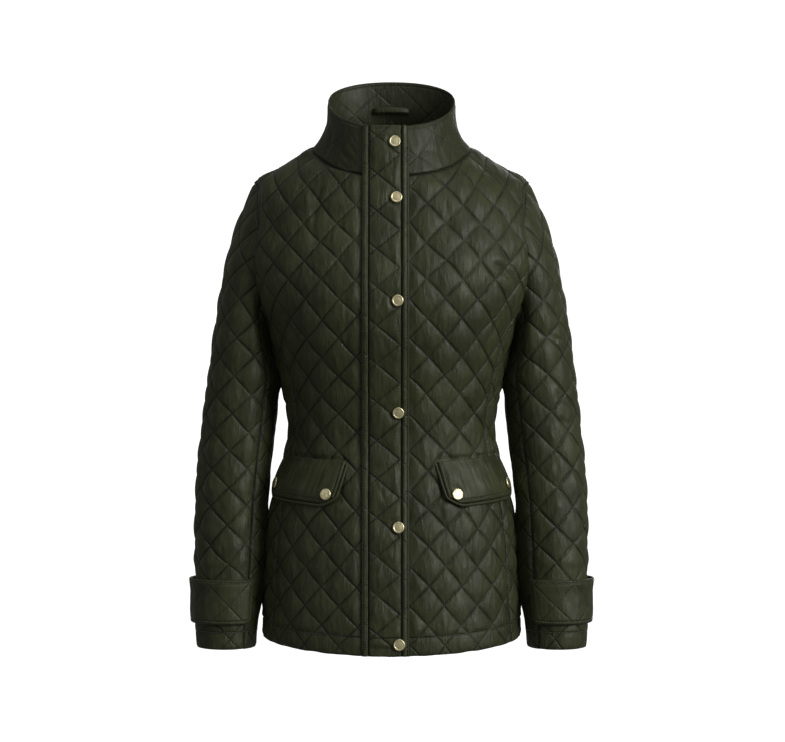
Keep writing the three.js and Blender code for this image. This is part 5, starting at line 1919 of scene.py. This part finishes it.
@dataclass
class Studio:
    """The pale floor and backdrop, the soft lights and the camera."""

    centre_z: float = -0.294
    distance: float = 3.0
    lens: float = 106.65
    floor_z: float = -1.42

    def backdrop(self) -> None:
        """Adds one pale round sweep, a floor that curves up into a wall all round.

        The profile, turned about Z, is level, then a quarter circle, then upright.
        """
        radius, wall = 1.0, 4.4
        angle = np.linspace(0, math.pi / 2, 13)
        reach = np.concatenate([[0.02, 1.5], wall - radius + radius * np.sin(angle), [wall]])
        rise = np.concatenate([[0.0, 0.0], radius * (1 - np.cos(angle)), [9.0]])
        sides = 72
        turn = np.linspace(0, 2 * math.pi, sides, endpoint=False)
        points = np.stack([
            reach[:, None] * np.cos(turn), reach[:, None] * np.sin(turn),
            self.floor_z + rise[:, None] + 0 * turn,
        ], axis=-1).reshape(-1, 3)
        i, j = np.meshgrid(np.arange(len(reach) - 1), np.arange(sides), indexing="ij")
        a, b = i * sides + j, i * sides + (j + 1) % sides
        faces = np.stack([a, a + sides, b + sides, b], axis=-1).reshape(-1, 4)
        mesh = bpy.data.meshes.new("floor_and_wall")
        mesh.from_pydata(points.tolist(), [], [list(range(sides)), *faces.tolist()])
        mesh.polygons.foreach_set("use_smooth", [True] * len(mesh.polygons))
        sweep = bpy.data.objects.new("floor_and_wall", mesh)
        sweep.visible_diffuse = False
        sweep.visible_glossy = False
        bpy.context.scene.collection.objects.link(sweep)
        kit = NodeMaterial("white_paper")
        kit.shader.inputs["Base Color"].default_value = (0.9, 0.9, 0.89, 1.0)
        kit.shader.inputs["Roughness"].default_value = 0.9
        kit.shader.inputs["Emission Color"].default_value = (1.0, 1.0, 1.0, 1.0)
        kit.shader.inputs["Emission Strength"].default_value = 0.9
        mesh.materials.append(kit.material)

    def light(self, name: str, place: tuple[float, float, float], aim: tuple[float, float, float],
              size: tuple[float, float], power: float) -> None:
        """Adds a soft rectangular light."""
        data = bpy.data.lights.new(name, "AREA")
        data.shape = "RECTANGLE"
        data.size, data.size_y = size
        data.energy = power
        lamp = bpy.data.objects.new(name, data)
        lamp.location = place
        lamp.rotation_euler = (Vector(aim) - Vector(place)).to_track_quat("-Z", "Y").to_euler()
        bpy.context.scene.collection.objects.link(lamp)

    def build(self) -> None:
        """Sets up the whole studio."""
        scene = bpy.context.scene
        self.backdrop()
        world = bpy.data.worlds.new("studio")
        world.use_nodes = True
        world.node_tree.nodes["Background"].inputs[0].default_value = (1.0, 1.0, 1.0, 1.0)
        world.node_tree.nodes["Background"].inputs[1].default_value = 0.165
        scene.world = world
        scene.view_settings.view_transform = "Standard"
        middle = (0.0, 0.0, self.centre_z)
        self.light("key", (2.4, -2.0, 0.7), middle, (1.3, 1.6), 82.0)
        self.light("fill", (-2.2, -2.2, 0.2), middle, (1.6, 2.0), 6.0)
        self.light("top", (0.2, -1.0, 1.9), (0.0, 0.0, -0.2), (1.6, 1.2), 10.0)
        self.light("back", (0.5, 3.0, 0.8), middle, (2.0, 2.0), 36.0)
        data = bpy.data.cameras.new("camera")
        data.lens = self.lens
        data.sensor_width = 36.0
        camera = bpy.data.objects.new("camera", data)
        camera.location = (0.0012, -self.distance, self.centre_z)
        camera.rotation_euler = (math.radians(90), 0.0, 0.0)
        scene.collection.objects.link(camera)
        scene.camera = camera


class Jacket:
    """All the garment's pieces, built in order."""

    def __init__(self) -> None:
        """Makes the forms and the finishes."""
        self.body = BodyForm()
        self.sleeve = SleeveForm(self.body)
        self.collar = CollarForm(self.body, CollarSizes())
        self.placket = Placket(PlacketForm(self.body, self.collar))
        self.quilted = ClothFinish("olive_quilted", fold_line=GARMENT.hem_fold).make()
        self.sleeve_cloth = ClothFinish("olive_sleeve", fold_line=GARMENT.cuff_fold).make()
        self.collar_cloth = ClothFinish(
            "olive_collar", colour=(0.019, 0.0225, 0.007), groove_shade=0.12, wrinkle=0.0008, fold_line=5.0
        ).make()
        self.plain = ClothFinish(
            "olive_flap", groove_shade=0.2, wrinkle=0.0009, fold_line=4.2
        ).make()
        self.trim = ClothFinish("olive_trim", groove_shade=0.3, wrinkle=0.0005).make()
        self.thread = ThreadFinish().make()
        self.gold = SnapFinish().make()

    def add(self, name: str, node: str | None, points: Array, triangles: Array, material: bpy.types.Material,
            slot: Slot, **attributes: Array) -> bpy.types.Object:
        piece = make_object(name, points, triangles, **attributes)
        piece.data.materials.append(material)
        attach(piece, "root")
        if node:
            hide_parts(node)
        LOG.info("%s: %d triangles", name, len(triangles))
        return piece

    def add_cloth(self, node: str, shell: Shell, size: tuple[float, float], area: float,
                  material: bpy.types.Material, slot: Slot) -> None:
        """Adds a cloth piece and logs its cut."""
        points, triangles, quilt, flat = shell.closed()
        piece = self.add(f"{node}_cloth", node, points, triangles, material, slot, quilt=quilt, flat=flat)
        width, length = (round(value, 3) for value in size)
        area = min(max(area, 0.31 * width * length), width * length)
        LOG.info("%s: cut %.3f x %.3f m, %.4f m2", node, width, length, area)

    def add_panel(self, panel: QuiltedPanel,
                  material: bpy.types.Material) -> None:
        """Adds a quilted panel."""
        shell, area = panel.build()
        across = shell.flat[:, 0] - 700 * panel.seed
        size = (float(np.ptp(across)) * MM, float(np.ptp(shell.flat[:, 1])) * MM)
        self.add_cloth(panel.name, shell, size, area, material, Slot.SHELL)

    def build_body(self) -> None:
        """Adds the fronts, side panels and back."""
        for side, seed in ((Side.LEFT, 1), (Side.RIGHT, 2)):
            front = FrontPanel(f"front_{side.word}", side, seed, self.body, 0.0, (-1, 12), 29,
                               FRONT_CREASES[side])
            self.add_panel(front, self.quilted)
            panel = SidePanel(f"side_panel_{side.word}", side, seed + 2, self.body, 11.0, (-6, 7), 22,
                              SIDE_CREASES[side])
            self.add_panel(panel, self.quilted)
        back = BackHalf("back", Side.LEFT, 5, self.body, 22.0, (-12, 12), 30, BACK_CREASES)
        self.add_panel(back, self.quilted)

    def build_sleeves(self) -> None:
        """Adds the two-piece sleeves."""
        front, rear = GARMENT.sleeve_front_seam, GARMENT.sleeve_back_seam
        for side, seed in ((Side.LEFT, 6), (Side.RIGHT, 8)):
            word = side.word
            top = SleevePanel(f"top_sleeve_{word}", side, seed, self.sleeve, 0.0, (rear, front),
                              SLEEVE_CREASES[side])
            self.add_panel(top, self.sleeve_cloth)
            ends = (front, rear + GARMENT.sleeve_columns)
            under = SleevePanel(f"under_sleeve_{word}", side, seed + 1, self.sleeve, 7.0, ends)
            self.add_panel(under, self.sleeve_cloth)

    def build_collar(self) -> None:
        """Adds the collar and its hanger loop."""
        shell, size, area = Collar(self.collar).build()
        self.add_cloth("collar", shell, size, area, self.collar_cloth, Slot.SHELL)
        shell, size, area = HangerLoop(self.collar).build()
        self.add_cloth("hanger_loop", shell, size, area, self.trim, Slot.TRIM)

    def build_trim(self) -> None:
        """Adds the placket's strips, the pocket flaps and the cuff tabs."""
        for node, (shell, size, area) in self.placket.build().items():
            main = node == "placket"
            finish, slot = (self.quilted, Slot.SHELL) if main else (self.trim, Slot.TRIM)
            self.add_cloth(node, shell, size, area, finish, slot)
        for side in Side:
            flap = PocketFlap(self.body, side)
            shell, area = flap.build()
            size = (flap.width * 1.08 * MM, flap.height * 1.12 * MM)
            node = f"pocket_flap_{side.word}"
            self.add_cloth(node, shell, size, area, self.plain, Slot.SHELL)
            route, normals = flap.edge_path()
            points, triangles = tube(route, normals, 1.7, 12)
            flat = np.column_stack([points[:, 0] + 5000, points[:, 2], np.full(len(points), 20.0)])
            quilt = np.full_like(points, 0.5) + [0, 0, 19]
            name = f"pocket_flap_binding_{side.word}"
            self.add(f"{name}_cloth", name, points, triangles, self.trim, Slot.TRIM, quilt=quilt, flat=flat)
            shell, size, area = CuffTab(self.sleeve, side).build()
            node = f"cuff_tab_{side.word}"
            self.add_cloth(node, shell, size, area, self.plain, Slot.SHELL)
            for place in flap.snap_places():
                self.add(f"{place.name}_cap", place.name, *Snap().build(place), self.gold, Slot.SNAP)
        for place in self.placket.snap_places():
            self.add(f"{place.name}_cap", place.name, *Snap().build(place), self.gold, Slot.SNAP)

    def sew(self, name: str, *rows: tuple[Array, Array]) -> None:
        """Adds rows of stitches as one piece."""
        points, triangles = joined([stitches(route, normals) for route, normals in rows])
        self.add(name, None, points, triangles, self.thread, Slot.TRIM)

    def build_stitches(self) -> None:
        """Adds the rows of stitches that show."""
        z = np.linspace(-640.0, 9.0, 260)
        ahead = np.tile([0.0, -1.0, 0.0], (len(z), 1))
        form, fold, bound = self.placket.form, self.placket.left, self.placket.right - 9.0
        rows = []
        for x, lift in ((fold + 1.3, self.placket.fold_lift), (fold + 7.0, self.placket.fold_lift),
                        (bound + 6.3, self.placket.binding_lift)):
            here = np.full_like(z, x)
            rows.append((form.point(here, z, lift(here, z) + 0.15), ahead))
        self.sew("stitches_placket", *rows)
        column = np.linspace(2.6, 41.2, 400)
        height = hem_line(column) + GARMENT.hem_fold
        normal = self.body.normal(column, height)
        self.sew("stitches_hem", (self.body.point(column, height) + normal * 2.9, normal))
        rows = []
        for start, end in ((0.11, 2.0), (-2.0, -0.17)):
            turn = np.linspace(start, end, 200)
            low, high = self.collar.point(turn, 0 * turn), self.collar.point(turn, 0 * turn + 1)
            rise = 1 - 5 / np.linalg.norm(high - low, axis=1)
            normal = self.collar.normal(turn, rise)
            rows.append((self.collar.point(turn, rise) + normal * 1.5, normal))
        self.sew("stitches_collar", *rows)
        flap_rows, tab_rows, cuff_rows = [], [], []
        for side in Side:
            flap = PocketFlap(self.body, side)
            inset, height = 4.5 / flap.width, 4.5 / flap.height
            level, fall = np.linspace(inset, 1 - inset, 90), np.linspace(0.08, 1 - height, 50)
            routes = (
                (level, 0 * level + 1 - height), (0 * fall + inset, fall),
                (0 * fall + 1 - inset, fall),
            )
            for across, down in routes:
                lift = np.full_like(across, flap.lift + flap.thickness)
                route = flap.point(across, down, lift + 0.2)
                flap_rows.append((route, unit(route - flap.point(across, down, lift - 3))))
            tab = CuffTab(self.sleeve, side)
            inset = 3.6 / (tab.top_z - tab.bottom_z)
            level = np.linspace(0.025, 0.98, 120)
            for down in (inset, 1 - inset):
                flare = tab.flare(level, down * (tab.top_z - tab.bottom_z) + 0 * level)
                lift = tab.lift + tab.thickness + flare
                route = tab.point(level, 0 * level + down, lift + 0.1)
                tab_rows.append((route, unit(route - tab.point(level, 0 * level + down, lift - 3))))
            column = np.linspace(-6.9, 6.9, 160)
            share = self.sleeve.share_at(column, 0 * column - 646.0 + GARMENT.cuff_fold)
            pair = [self.sleeve.point(share, column, lift) for lift in (2.9, 0.0)]
            for points in pair:
                points[:, 0] *= side.value
            cuff_rows.append((pair[0], unit(pair[0] - pair[1])))
        self.sew("stitches_flaps", *flap_rows)
        self.sew("stitches_tabs", *tab_rows)
        self.sew("stitches_cuffs", *cuff_rows)

    def build(self) -> None:
        """Adds every piece."""
        self.build_body()
        self.build_sleeves()
        self.build_collar()
        self.build_trim()
        self.build_stitches()


def main() -> None:
    """Builds the jacket and its studio."""
    logging.basicConfig(level=logging.INFO, format="%(name)s: %(message)s")
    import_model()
    Studio().build()
    Jacket().build()
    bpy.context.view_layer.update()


if __name__ == "__main__":
    main()
